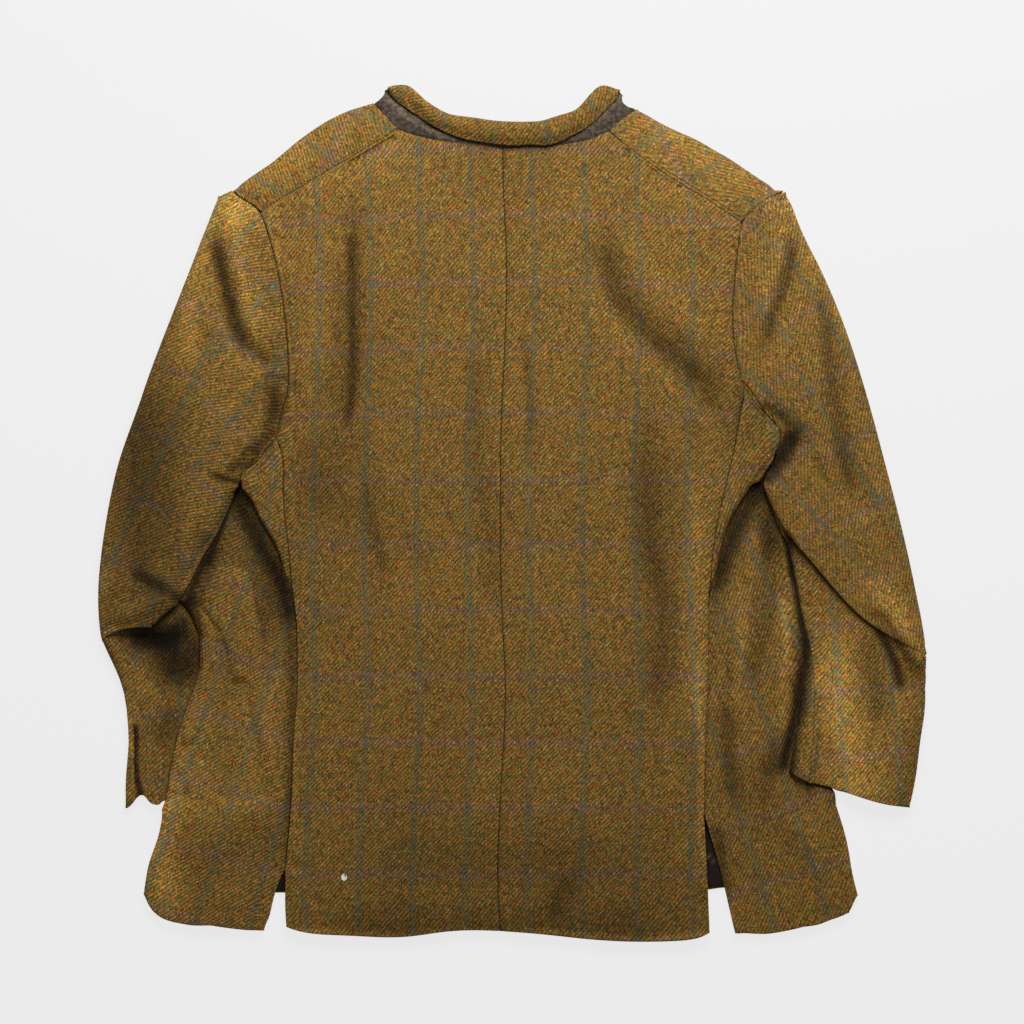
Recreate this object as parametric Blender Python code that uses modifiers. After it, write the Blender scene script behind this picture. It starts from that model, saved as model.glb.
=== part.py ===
"""A tweed sport coat laid flat, back up, built from its cut pieces.

Lengths in the tables are millimetres. X runs across the back, Y from the hem up to the
collar, Z up from the surface it lies on. The origin is under the middle of the coat.
Every piece is a cloth wall about the middle surface that its table describes.
"""

import math

import bpy
import numpy as np

MM = 0.001
CLOTH = 2.2  # tweed with its seam allowance pressed flat
FELT = 1.6  # undercollar
LINING = 1.0
SEAM = 0.3  # clear space at a flat seam
BENT_SEAM = 1.0  # the same where the pieces meet at an angle
EDGE = 1.0  # how far inside the outline the middle of a folded edge lies
FLOOR = 0.5 * CLOTH  # middle of a layer that rests on the surface
LAYER = CLOTH + 0.7  # middle to middle of two layers pressed together
TURN = 1.6  # half the height of a sharp fold

TWEED = ("tweed", (0.155, 0.095, 0.030), 0.95, 0.0)
TWEED_DARK = ("tweed_underside", (0.120, 0.072, 0.024), 0.95, 0.0)
MELTON = ("melton_felt", (0.060, 0.048, 0.040), 0.98, 0.0)
SATEEN = ("lining_sateen", (0.045, 0.026, 0.028), 0.55, 0.0)
HORN = ("horn_button", (0.090, 0.060, 0.040), 0.35, 0.0)


def table(names, *rows):
    """A table with named columns, each column as an array."""
    return {name: np.array(column, float) for name, column in zip(names.split(), zip(*rows))}


# ---------------------------------------------------------------- body, seen from above

# The back's height at its middle and beside the armhole or vent, from hem to neck.
BACK_HEIGHT = table(
    "y middle side blade",
    (-412, 7.7, 8.8, 0.0),
    (-300, 9.2, 11.0, 0.0),
    (-180, 11.2, 14.2, 0.0),
    (-60, 14.0, 17.6, 0.3),
    (30, 17.0, 20.6, 1.6),
    (120, 20.0, 24.6, 3.4),
    (210, 22.6, 29.0, 4.2),
    (290, 24.6, 33.0, 2.6),
    (365, 25.6, 33.5, 0.6),
)

CENTRE_SEAM = table(
    "y x",
    (-412, -10),
    (-368, -14),
    (-270, -11),
    (-176, -6),
    (-60, -11),
    (60, -11),
    (181, -6),
    (236, -5),
    (300, -8),
    (349, -9),
)

# Half the back's width, from the centre seam.
BACK_WIDTH = table("y x", (-412, 205), (-200, 198), (-60, 204), (60, 214), (200, 214), (290, 238))

# Soft folds of the back: where each runs, how wide and how deep it is.
BACK_FOLDS = table(
    "x0 y0 x1 y1 width depth",
    (-156, 262, -155, 115, 15, 4.0),
    (-155, 115, -134, -45, 17, 2.0),
    (94, 234, 124, 184, 15, 3.2),
    (124, 184, 162, 154, 15, 3.6),
    (162, 154, 202, 106, 15, 2.6),
    (131, 60, 154, -86, 18, 2.4),
    (-40, 138, -46, 58, 12, 1.6),
    (8, 166, 17, 40, 13, 1.8),
    (-96, 250, -80, 190, 16, 1.4),
    (44, 262, 66, 200, 14, 1.4),
    (66, -336, 30, -395, 26, 1.0),
    (-188, -60, -160, -150, 16, 1.5),
)

NECK_SEAM = (
    (-134, 390),
    (-123, 378),
    (-109, 365.5),
    (-97, 360),
    (-72, 354.5),
    (-44, 351),
    (-9, 348.5),
    (16, 349),
    (43, 350),
    (66, 352.5),
    (81, 357),
    (92, 363.5),
    (104, 372),
    (120, 384),
)
NECK_LEFT = 2  # where the shoulder seams meet the neck seam
NECK_MIDDLE = 6
NECK_RIGHT = 11

SHOULDER_SEAM = {
    -1: ((-109, 365.5), (-121, 359), (-145, 343), (-172, 328), (-191, 316), (-216, 302), (-240, 286)),
    1: ((92, 363.5), (103, 354), (139, 327), (161, 313), (188, 297), (219, 276)),
}
SHOULDER_FOLD = {
    -1: ((-134, 390), (-172, 375), (-191, 363), (-221, 341), (-253, 320), (-269, 308)),
    1: ((120, 384), (150, 366), (196, 347), (223, 330), (247, 314), (262, 308)),
}
# From the shoulder point to the underarm.
ARMHOLE = {
    -1: ((-269, 308), (-255, 298), (-240, 286), (-228, 249), (-218, 194), (-214, 141), (-214, 114),
         (-219, 79), (-237, 52), (-264, 35)),
    1: ((262, 308), (245, 300), (230, 288), (219, 276), (216, 251), (211, 194), (213, 154), (220, 127),
        (231, 106), (242, 94), (257, 78)),
}
ARMHOLE_TOP = {-1: 2, 1: 3}  # where the shoulder seam meets it
UNDERARM = {-1: 8, 1: 8}  # the first of its points that lies on the side panel
UNDER_ARMHOLE = {
    -1: ((-269, 308), (-252, 272), (-240, 210), (-236, 150), (-240, 92), (-251, 57), (-264, 35)),
    1: ((262, 308), (246, 272), (236, 210), (232, 155), (236, 118), (246, 95), (257, 78)),
}
# The back's outer edge, from the hem up to the armhole: vent, rolled edge, side seam.
BACK_SIDE = {
    -1: ((-217, -397), (-219, -391), (-218, -366), (-217, -335), (-213, -297), (-211, -257), (-210, -216),
         (-206, -176), (-206, -136), (-207, -97), (-211, -66), (-213, -33), (-218, -6), (-219, 40), (-219, 79)),
    1: ((190, -403), (188, -359), (186, -319), (184, -291), (185, -243), (186, -203), (188, -149), (188, -97),
        (190, -54), (193, -27), (205, 25), (215, 71), (222, 122)),
}
BACK_HEM = {
    -1: ((-10, -401), (-34, -400), (-63, -401), (-95, -406), (-119, -407), (-154, -405), (-185, -404),
         (-208, -401), (-217, -397)),
    1: ((-10, -401), (6, -402), (42, -405), (67, -408), (116, -411), (165, -410), (182, -408), (190, -403)),
}

# Side panels: the seam to the back (below the waist, the hidden edge of the vent), the edge where
# the cloth rolls over, how far it tucks back under, the outer fold and the seam to the front.
SIDE_EDGES = {
    -1: table(
        "y seam roll tuck out front",
        (79, -219, -257, -255, -259.5, -246),
        (34, -219, -255.5, -252.5, -260.6, -240),
        (13, -219, -249, -244, -266.8, -239),
        (-9, -218, -240, -231, -275.3, -238),
        (-25, -215.5, -229, -219, -283.5, -239),
        (-44, -214.5, -219, -209, -295, -240),
        (-66, -213.5, -217, -208, -306, -242),
        (-80, -211, -215, -207, -312.5, -244),
        (-92, -209, -214, -207, -312, -246),
        (-110, -206, -211, -206, -305, -248),
        (-125, -203, -208, -204, -303, -250),
        (-158, -202, -207, -203, -304, -254),
        (-199, -203, -208, -204, -316, -259),
        (-233, -204, -209, -205, -326, -264),
        (-274, -206, -211, -207, -332, -272),
        (-320, -212, -217, -213, -341, -283),
        (-350, -221, -226, -222, -349, -290),
        (-368, -229, -234, -230, -351, -293),
        (-402, -238, -243, -239, -351, -296),
    ),
    1: table(
        "y seam roll tuck out front",
        (122, 222, 252, 249, 254, 238),
        (78, 217, 250, 247, 252.4, 230),
        (57, 212, 247, 240, 252.6, 226),
        (45, 209.5, 241, 232, 247, 224),
        (34, 207, 234, 224, 239.0, 222),
        (20, 203.5, 225, 214, 240.0, 222),
        (4, 200, 215, 204, 247.2, 222),
        (-23, 194.5, 200, 190, 260.4, 226),
        (-54, 192.5, 196.5, 188, 268.5, 232),
        (-82, 190, 194, 187, 272, 236),
        (-116, 184, 188, 186, 278.5, 240),
        (-146, 182, 187, 184, 280, 243),
        (-181, 181, 186, 183, 286, 247),
        (-219, 180, 185, 182, 296, 251),
        (-265, 180, 185, 182, 307, 260),
        (-291, 183, 188, 185, 312, 264),
        (-319, 193, 198, 195, 320, 268),
        (-344, 200, 205, 202, 324, 272),
        (-371, 206, 211, 208, 330, 276),
        (-405, 214, 219, 216, 331, 280),
    ),
}

STACK_CLEAR = {-1: 1.7, 1: 0.3}  # left over the lifted front, whose rows are coarser

# Heights of the side panel's lower, flared layer: just inside the tuck, on its crest, on the
# bulge beside the forearm, past that bulge, and how far the bulge lies inside the outer fold.
SIDE_HEIGHTS = {
    -1: table(
        "y crest bulge foot inset",
        (34, 11.0, 11.0, 10.0, 8),
        (-20, 12.0, 12.0, 10.0, 16),
        (-66, 13.5, 13.0, 9.5, 18),
        (-100, 15.0, 14.5, 13.0, 16),
        (-200, 15.0, 14.5, 13.5, 20),
        (-262, 14.2, 13.8, 12.8, 20),
        (-310, 12.5, 12.0, 11.4, 20),
        (-350, 8.2, 7.8, 6.6, 20),
        (-402, 6.2, 6.0, 5.4, 20),
    ),
    1: table(
        "y crest bulge foot inset",
        (60, 11.0, 11.0, 10.0, 8),
        (-20, 13.0, 12.5, 10.5, 14),
        (-100, 15.0, 14.0, 10.5, 16),
        (-122, 15.0, 14.0, 8.0, 18),
        (-146, 15.0, 14.0, 4.6, 20),
        (-219, 14.4, 13.6, 4.6, 36),
        (-265, 12.6, 12.0, 4.6, 46),
        (-295, 10.4, 9.4, 5.0, 44),
        (-330, 8.4, 7.8, 6.0, 34),
        (-405, 6.2, 6.0, 5.4, 26),
    ),
}
SIDE_HEM = {
    -1: ((-238, -402), (-258, -402), (-280, -399), (-307, -394), (-329, -390), (-344, -378), (-350.5, -366)),
    1: ((214, -405), (238, -404), (263, -400), (300, -390), (322, -382), (330, -371), (328, -362)),
}

# Front panels, hidden under the rest but for the strip that folds over each shoulder.
FRONT_HEM_Y = {-1: -366, 1: -361}
FRONT_EDGE = {-1: 34, 1: -34}  # each crosses the middle by this much
FRONT_CORNER_Y = -392
BUTTON_STANCE_Y = -58
FRONT_LAP = 2.9  # the right front lies over the left one

# ---------------------------------------------------------------- sleeves

SLEEVE_OUTER = {  # shoulder point to elbow, then elbow to cuff
    -1: (((-269, 308), (-277, 306), (-283, 299), (-296, 264), (-312, 224), (-328, 184), (-350, 127),
          (-366, 76), (-374, 55), (-385, 7), (-393, -44), (-396, -81), (-394, -121)),
         ((-394, -121), (-386, -141), (-375, -165), (-371.5, -190), (-369, -216), (-370, -239), (-372, -261),
          (-371, -284))),
    1: (((262, 308), (266, 300), (279, 264), (303, 219), (323, 168), (342, 109), (357, 52), (369, 6),
         (377, -24), (385, -64), (393, -103), (396.5, -136)),
        ((396.5, -136), (396, -184), (390, -219), (386, -252), (381.5, -285))),
}
SLEEVE_INNER = {
    -1: (((-264, 35), (-267.5, 20), (-272, 5), (-277, -8), (-284, -24), (-296, -44), (-307, -66), (-315, -79)),
         ((-315, -79), (-304, -88), (-287, -103), (-263, -150), (-247, -208), (-237, -272))),
    1: (((257, 78), (259, 62), (250, 45), (240, 31)),
        ((240, 31), (247.5, 9), (260, -16), (268.5, -48), (273, -86), (279.5, -118), (279, -148), (274, -184),
         (270, -219), (264, -249))),
}
# The edge of the upper sleeve where it folds over the forearm, from inner to outer side.
ELBOW_FOLD = {
    -1: ((-315, -79), (-325, -91), (-335, -99), (-348, -112), (-364, -110), (-379, -114), (-394, -121)),
    1: ((240, 31), (256, -9), (271, -30), (288, -47), (306, -70), (329, -96), (352, -114), (377, -126),
        (396.5, -136)),
}
CUFF = {
    -1: ((-237, -272), (-285, -276), (-333, -276), (-347, -281), (-355, -278), (-360, -278), (-371, -284)),
    1: ((264, -249), (283, -260), (306, -265), (335, -275), (354, -281), (381.5, -285)),
}
# Heights of the sleeve from armhole (0) over the elbow fold (1) to the cuff (2): top layer near
# the inner edge, along the middle and near the outer edge, then how wide each edge rounds off.
SLEEVE_TOP = {
    -1: table(
        "at inner middle outer round_in round_out",
        (0.00, 21.0, 31.0, 27.0, 20, 26),
        (0.25, 24.0, 32.0, 27.0, 20, 40),
        (0.50, 23.0, 27.0, 23.0, 16, 42),
        (0.75, 21.0, 23.5, 19.0, 15, 38),
        (1.00, 17.5, 19.5, 15.0, 14, 24),
        (1.04, 6.2, 6.4, 9.5, 10, 16),
        (1.30, 6.0, 5.8, 9.5, 10, 16),
        (1.55, 6.0, 6.2, 9.0, 10, 16),
        (2.00, 6.0, 6.2, 8.4, 10, 12),
    ),
    1: table(
        "at inner middle outer round_in round_out",
        (0.00, 21.0, 30.0, 27.0, 20, 26),
        (0.25, 22.0, 31.0, 26.0, 22, 38),
        (0.50, 21.0, 27.0, 22.5, 20, 42),
        (0.75, 20.5, 24.0, 19.5, 14, 38),
        (1.00, 20.0, 20.5, 16.5, 12, 22),
        (1.04, 12.5, 13.4, 13.4, 8, 16),
        (1.50, 13.4, 14.0, 12.5, 9, 18),
        (2.00, 12.6, 12.6, 10.5, 9, 16),
    ),
}
SLEEVE_FOLDS = {
    -1: table(
        "x0 y0 x1 y1 width depth",
        (-286, 282, -279, 240, 8, 4.5),
        (-279, 240, -268, 190, 8, 5.5),
        (-268, 190, -247, 155, 9, 3.0),
        (-350, -60, -322, -78, 8, 3.5),
        (-340, 60, -352, -20, 14, 1.6),
        (-300, 60, -318, 10, 16, 1.4),
    ),
    1: table(
        "x0 y0 x1 y1 width depth",
        (270, 264, 261, 228, 8, 4.5),
        (261, 228, 250, 184, 9, 3.6),
        (307, 104, 315, 54, 9, 3.0),
        (315, 54, 330, 12, 8, 3.6),
        (296, 176, 300, 120, 14, 1.6),
        (356, -120, 376, -168, 8, 4.0),
        (276, 40, 300, 0, 14, 1.4),
    ),
}
# How far the elbow fold tucks back, from inner to outer edge.
ELBOW_TUCK = {-1: 13.0, 1: 13.0}
# Seams along the sleeve, as a part of the way across its top from the inner to the outer edge.
# Below 0 the front seam lies under the inner edge, above 1 the hind seam lies under the outer one.
SLEEVE_SEAMS = {
    -1: table(
        "at front hind",
        (0.00, -0.02, 0.93),
        (0.15, -0.03, 0.82),
        (0.40, -0.03, 0.58),
        (0.75, -0.03, 0.42),
        (1.00, -0.03, 0.45),
        (1.05, -0.03, 0.52),
        (1.16, -0.03, 0.72),
        (1.30, -0.03, 0.90),
        (1.45, -0.03, 0.96),
        (1.62, -0.03, 0.95),
        (2.00, -0.03, 0.925),
    ),
    1: table(
        "at front hind",
        (0.00, -0.02, 0.93),
        (0.15, -0.03, 0.80),
        (0.40, -0.03, 0.60),
        (0.75, -0.03, 0.66),
        (0.90, -0.03, 0.82),
        (1.00, -0.03, 0.96),
        (1.08, -0.03, 0.99),
        (1.20, -0.03, 1.02),
        (1.36, 0.03, 1.03),
        (1.54, 0.13, 1.03),
        (1.75, 0.17, 1.03),
        (2.00, 0.19, 1.03),
    ),
}
CUFF_VENT_FROM = 1.6  # the left cuff is open from here down
CUFF_VENT_GAP = 2.2
SLANT_SEAM = {-1: 0.6, 1: 3.0}  # added where the sections run slantwise over the inner edge
LIP_ROWS = 0.15  # the part of the upper sleeve that overhangs the side panel
BUTTON_RADIUS = 7.5
BUTTON_THICKNESS = 2.6
BUTTON_LIFT = 3.2  # how far the buttons hold the cuff off the surface
CUFF_BUTTONS = ((-361.8, -202.0), (-361.8, -218.5), (-362.8, -235.0))

# ---------------------------------------------------------------- collar

# From the left end round to the right: the fold along the top and the loose edge of the fall.
COLLAR_TOP = (
    (-119, 407), (-102, 409.5), (-95, 406), (-86, 396), (-73, 387), (-60, 380), (-36, 377), (-17, 374),
    (7, 373), (30, 374), (43, 379), (61, 384), (71, 395), (84, 409), (93, 407), (104, 403),
)
COLLAR_EDGE = (
    (-118, 402), (-108, 392), (-95, 383), (-78, 370), (-54, 359), (-36, 356), (-8, 352), (16, 352),
    (39, 355), (53, 361), (77, 374), (89, 384), (103, 399),
)
COLLAR_END_HEIGHT = 23.0
COLLAR_HEIGHT = 31.5


# ---------------------------------------------------------------- helpers


def smooth_step(value):
    value = np.clip(value, 0.0, 1.0)
    return value * value * (3.0 - 2.0 * value)


def read(rows, column, at, key="y"):
    """A column of a table at any place between its rows, curving smoothly and never past them."""
    order = np.argsort(rows[key])
    knots = rows[key][order]
    values = rows[column][order]
    at = np.clip(np.asarray(at, float), knots[0], knots[-1])
    steps = np.diff(knots)
    slopes = np.diff(values) / steps
    tangents = np.zeros(len(knots))
    for i in range(1, len(knots) - 1):
        if slopes[i - 1] * slopes[i] > 0:
            near = 2 * steps[i] + steps[i - 1]
            far = steps[i] + 2 * steps[i - 1]
            tangents[i] = (near + far) / (near / slopes[i - 1] + far / slopes[i])
    tangents[0] = slopes[0]
    tangents[-1] = slopes[-1]
    i = np.clip(np.searchsorted(knots, at) - 1, 0, len(steps) - 1)
    t = (at - knots[i]) / steps[i]
    return (
        values[i] * (2 * t**3 - 3 * t**2 + 1)
        + values[i + 1] * (3 * t**2 - 2 * t**3)
        + steps[i] * (tangents[i] * (t**3 - 2 * t**2 + t) + tangents[i + 1] * (t**3 - t**2))
    )


def along(points, fractions):
    """Places on a smooth line through the points, at these fractions of its length."""
    points = np.array(points, float)
    ends = np.concatenate([2 * points[:1] - points[1:2], points, 2 * points[-1:] - points[-2:-1]])
    fine = []
    for a, b, c, d in zip(ends[:-3], ends[1:-2], ends[2:-1], ends[3:]):
        t = np.linspace(0, 1, 12, endpoint=False)[:, None]
        fine.append(
            0.5 * (2 * b + (c - a) * t + (2 * a - 5 * b + 4 * c - d) * t**2 + (3 * b - a - 3 * c + d) * t**3)
        )
    fine = np.concatenate(fine + [points[-1:]])
    length = np.concatenate([[0], np.cumsum(np.linalg.norm(np.diff(fine, axis=0), axis=1))])
    at = np.asarray(fractions, float) * length[-1]
    return np.stack([np.interp(at, length, fine[:, i]) for i in range(points.shape[1])], axis=-1)


def patch(start, end, inner, outer, across, down, inner_down=None):
    """A grid filled in between four edges: rows run from the start edge to the end edge."""
    u = across[None, :, None]
    v = down[:, None, None]
    start, end = along(start, across), along(end, across)
    inner, outer = along(inner, down if inner_down is None else inner_down), along(outer, down)
    ruled = (1 - v) * start[None] + v * end[None] + (1 - u) * inner[:, None] + u * outer[:, None]
    corners = (
        (1 - u) * (1 - v) * start[0] + u * (1 - v) * start[-1] + (1 - u) * v * end[0] + u * v * end[-1]
    )
    return ruled - corners


def fold_depth(folds, x, y):
    """How far the named soft folds pull the cloth down at each place."""
    total = np.zeros(np.shape(x))
    for x0, y0, x1, y1, width, depth in zip(*(folds[c] for c in "x0 y0 x1 y1 width depth".split())):
        run = np.array([x1 - x0, y1 - y0])
        length = np.hypot(*run)
        part = ((x - x0) * run[0] + (y - y0) * run[1]) / length**2
        near = np.clip(part, 0, 1)
        gap = np.hypot(x - x0 - near * run[0], y - y0 - near * run[1])
        total += depth * np.exp(-((gap / width) ** 2))
    return total


def back_height(x, y):
    """Middle of the back's cloth above the surface."""
    across = np.clip(np.abs(x - read(CENTRE_SEAM, "x", y)) / read(BACK_WIDTH, "x", y), 0, 1.15)
    middle = read(BACK_HEIGHT, "middle", y)
    side = read(BACK_HEIGHT, "side", y)
    blade = read(BACK_HEIGHT, "blade", y) * np.sin(math.pi * np.clip(across, 0, 1)) ** 1.5
    return middle + (side - middle) * np.clip(across, 0, 1) ** 2 + blade - fold_depth(BACK_FOLDS, x, y)


def edge_curl(y):
    """How far the back's outer edge curls down beside the vent."""
    return 1.4 * smooth_step((y + 190) / 60) * smooth_step((-20 - y) / 30)


def under_left_body(x, y):
    """How far the forearm that lies beneath lifts the left side of the body."""
    inner = along(SLEEVE_INNER[-1][1], np.linspace(0, 1, 30))
    order = np.argsort(inner[:, 1])
    edge = np.interp(y - 22, inner[order, 1], inner[order, 0])
    down = smooth_step((-50 - y) / 34) * smooth_step((y + 335) / 42)
    return 8.2 * down * smooth_step((edge + 36 - x) / 30)


def under_right_forearm(x, y):
    """How far the side panel that lies beneath lifts the right forearm."""
    edge = read(SIDE_EDGES[1], "out", y)
    return 6.8 * smooth_step((-116 - y) / 26) * smooth_step((edge + 30 - x) / 24)


def over_buttons(x, y):
    """How far its buttons hold the left cuff off the surface."""
    near = smooth_step((-335 - x) / 18)
    return BUTTON_LIFT * near * smooth_step((-172 - y) / 18) * smooth_step((y + 268) / 18)


def under_fronts(side, x, y):
    """How far one front lifts the other where they cross."""
    return FRONT_LAP * smooth_step((96 - x) / 44) if side == 1 else 0.0 * x


def material(finish):
    name, colour, roughness, metallic = finish
    made = bpy.data.materials.get(name)
    if made is None:
        made = bpy.data.materials.new(name)
        made.use_nodes = True
        shader = made.node_tree.nodes["Principled BSDF"]
        shader.inputs["Base Color"].default_value = (*colour, 1.0)
        shader.inputs["Roughness"].default_value = roughness
        shader.inputs["Metallic"].default_value = metallic
        made.diffuse_color = (*colour, 1.0)
    return made


def cloth(name, grid, finish, thickness=CLOTH):
    """A piece of cloth: the grid is its middle surface, seen from its right side."""
    rows, columns = grid.shape[:2]
    faces = []
    for r in range(rows - 1):
        for c in range(columns - 1):
            a = r * columns + c
            faces.append((a, a + 1, a + columns + 1, a + columns))
    mesh = bpy.data.meshes.new(name)
    mesh.from_pydata([tuple(p * MM) for p in grid.reshape(-1, 3)], [], faces)
    mesh.materials.append(material(finish))
    mesh.shade_smooth()
    made = bpy.data.objects.new(name, mesh)
    parts.objects.link(made)
    wall = made.modifiers.new("wall", "SOLIDIFY")
    wall.thickness = thickness * MM
    wall.offset = 0.0
    return made


def inset(grid, start=0.0, end=0.0, first=0.0, last=0.0):
    """Draws the grid's edges in: its first and last row, then its first and last column."""
    moved = grid.copy()
    for index, step, size in ((0, 1, start), (-1, -1, end)):
        way = grid[index + step] - grid[index]
        moved[index] += way / np.linalg.norm(way, axis=-1, keepdims=True) * size
    source = moved.copy()
    for index, step, size in ((0, 1, first), (-1, -1, last)):
        way = source[:, index + step] - source[:, index]
        moved[:, index] += way / np.linalg.norm(way, axis=-1, keepdims=True) * size
    return moved


def button(name, centre, tilt):
    """A round button with a raised rim and a dished middle, turned from its profile."""
    profile = (
        (0.0, 0.25),
        (0.62, 0.25),
        (0.76, 0.50),
        (0.94, 0.50),
        (1.0, 0.10),
        (0.90, -0.50),
        (0.0, -0.50),
    )
    mesh = bpy.data.meshes.new(name)
    points = [(BUTTON_RADIUS * r * MM, 0.0, BUTTON_THICKNESS * z * MM) for r, z in profile]
    mesh.from_pydata(points, [(i, i + 1) for i in range(len(points) - 1)], [])
    mesh.materials.append(material(HORN))
    made = bpy.data.objects.new(name, mesh)
    parts.objects.link(made)
    turned = made.modifiers.new("turned", "SCREW")
    turned.steps = 16
    turned.render_steps = 16
    turned.use_merge_vertices = True
    turned.merge_threshold = 0.00001
    turned.use_smooth_shade = True
    made.location = [value * MM for value in centre]
    made.rotation_euler = tilt
    return made


# ---------------------------------------------------------------- pieces


def side_name(side):
    return "left" if side < 0 else "right"


def build_back(side):
    """One half of the back, from the centre seam out to the side seam and the armhole."""
    across = np.array([0.0, 0.08, 0.18, 0.29, 0.4, 0.51, 0.62, 0.73, 0.84, 0.94, 1.0])
    down = np.linspace(0, 1, 31)
    left_neck = NECK_SEAM[NECK_LEFT : NECK_MIDDLE + 1]
    right_neck = NECK_SEAM[NECK_MIDDLE : NECK_RIGHT + 1]
    neck = left_neck[::-1] if side < 0 else right_neck
    top = tuple(neck) + SHOULDER_SEAM[side][1:]
    seam_y = np.linspace(-401, 348.5, 16)
    centre = tuple(zip(read(CENTRE_SEAM, "x", seam_y), seam_y))
    edge = BACK_SIDE[side] + ARMHOLE[side][ARMHOLE_TOP[side] : UNDERARM[side]][::-1]
    plan = patch(BACK_HEM[side], top, centre, edge, across, down)
    x, y = plan[..., 0], plan[..., 1]
    z = back_height(x, y) - edge_curl(y) * smooth_step((across - 0.84) / 0.16)
    grid = inset(np.dstack([x, y, z]), end=0.5 * BENT_SEAM, first=0.5 * SEAM, last=0.5 * SEAM)
    armhole_rows = grid[:, -1, 1] > BACK_SIDE[side][-1][1] - 2
    grid[armhole_rows, -1, 0] -= side * 0.6
    if side < 0:
        grid = grid[:, ::-1]
    return cloth(f"back_{side_name(side)}", grid, TWEED)


def side_sections(side, y):
    """The side panel's path at one height up the coat: (x, z) from the back to the front seam.

    Above the waist it runs out to the rolled edge, tucks back under it and flares out again.
    Below, it starts under the edge of the back. It folds round at the outer edge to the front.
    """
    edges = {name: float(read(SIDE_EDGES[side], name, y)) for name in "seam roll tuck out front".split()}
    heights = {name: float(read(SIDE_HEIGHTS[side], name, y)) for name in "crest bulge foot inset".split()}
    inward = -side

    def lift(x):
        return float(under_left_body(np.array(x), y)) if side < 0 else 0.0

    folded = float(smooth_step((y + (84 if side < 0 else 92)) / 40))
    top = float(back_height(np.array(edges["seam"]), y)) - float(edge_curl(y))
    turn = min(TURN, 0.3 * abs(edges["roll"] - edges["tuck"])) * inward
    roll_top = min(float(back_height(np.array(edges["roll"]), y)) - float(edge_curl(y)), top) - 0.8
    flat = min(top - LAYER - 0.6, heights["crest"] + 1.0)
    folds = [
        (edges["seam"], top),
        (0.5 * (edges["seam"] + edges["roll"] + turn), 0.5 * (top + roll_top)),
        (edges["roll"] + turn, roll_top),
        (edges["roll"], roll_top - TURN),
        (edges["roll"] + turn, roll_top - 2 * TURN),
        (edges["tuck"] - turn, roll_top - 2 * TURN - 0.2),
        (edges["tuck"], roll_top - 3 * TURN - 0.2),
        (edges["tuck"] - turn, roll_top - 4 * TURN - 0.4),
    ]
    points = []
    for i, (x, z) in enumerate(folds):
        plain_x = edges["seam"] - inward * 2.6 * i
        points.append([plain_x + folded * (x - plain_x), flat + folded * (z - flat)])
    start_x, start_z = points[-1]
    out = edges["out"] + inward * EDGE
    bulge_x = out + inward * heights["inset"]
    foot_x = bulge_x - inward * min(9.0, 0.5 * heights["inset"])
    for part in (0.2, 0.45, 0.72):
        level = start_z + (heights["crest"] - start_z) * float(smooth_step(part * 1.9))
        points.append([start_x + part * (bulge_x - start_x), level])
    points.append([bulge_x, heights["bulge"]])
    points.append([foot_x, heights["foot"]])
    points.append([foot_x + 0.55 * (out - foot_x), heights["foot"] - 0.1])
    for point in points:
        point[1] = max(point[1], FLOOR + lift(point[0]) + LAYER + STACK_CLEAR[side])
    rest = FLOOR + lift(out + inward * 12)
    edge_top = max(heights["foot"] - 0.4, rest + LAYER)
    radius = 0.5 * (edge_top - rest)
    points.append([out + inward * 0.75 * radius, edge_top])
    points.append([out, rest + radius])
    points.append([out + inward * 0.75 * radius, rest])
    under = 0.5 * (out + edges["front"]) + inward * 4
    points.append([under, FLOOR + lift(under)])
    points.append([edges["front"], FLOOR + lift(edges["front"])])
    return points


def level_on(line, x):
    """How far up the coat a line lies at this x."""
    order = np.argsort(line[:, 0])
    return float(np.interp(x, line[order, 0], line[order, 1]))


def build_side(side):
    """The panel under the arm, between back and front."""
    hem = along(SIDE_HEM[side], np.linspace(0, 1, 40))
    seam_start = (BACK_SIDE[side][-1],)
    armhole = along(seam_start + ARMHOLE[side][UNDERARM[side] :], np.linspace(0, 1, 40))
    under = along(UNDER_ARMHOLE[side][-3:], np.linspace(0, 1, 20))
    lowest = armhole[-1, 1]
    down = np.concatenate([[0, 0.03, 0.06, 0.1, 0.14], np.linspace(0.19, 1, 15)])
    count = len(side_sections(side, 0.0))
    out_index = count - 4
    grid = np.zeros((len(down), count, 3))
    for c in range(count):
        top_y = float(armhole[0, 1])
        for _ in range(12):
            x = side_sections(side, top_y)[c][0]
            if c <= out_index:
                aim = level_on(armhole, x) - 2.4
            else:
                aim = level_on(under, x) - 6.0
            top_y = 0.5 * (top_y + aim)
        if out_index - 3 < c <= out_index:
            top_y = min(top_y, lowest - 2.0)
        bottom_y = -385.0
        for _ in range(12):
            x = side_sections(side, bottom_y)[c][0]
            if c <= out_index:
                aim = level_on(hem, x)
            else:
                aim = hem[-1, 1] + (FRONT_HEM_Y[side] - hem[-1, 1]) * (c - out_index) / 3
            bottom_y = 0.5 * (bottom_y + aim)
        for r, t in enumerate(down):
            y = top_y + (bottom_y - top_y) * t
            x, z = side_sections(side, y)[c]
            grid[r, c] = (x, y, z)
    grid = inset(grid, start=0.5 * BENT_SEAM, first=2 * SEAM, last=1.2)
    if side > 0:
        grid = grid[:, ::-1]
    return cloth(f"side_{side_name(side)}", grid[::-1], TWEED)


def front_seam_line(side):
    """The seam between front and side panel, from the hem up to the armhole."""
    top = 66.0 if side < 0 else 97.0
    levels = np.linspace(FRONT_HEM_Y[side], top, 24)
    return tuple(zip(read(SIDE_EDGES[side], "front", levels), levels))


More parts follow.
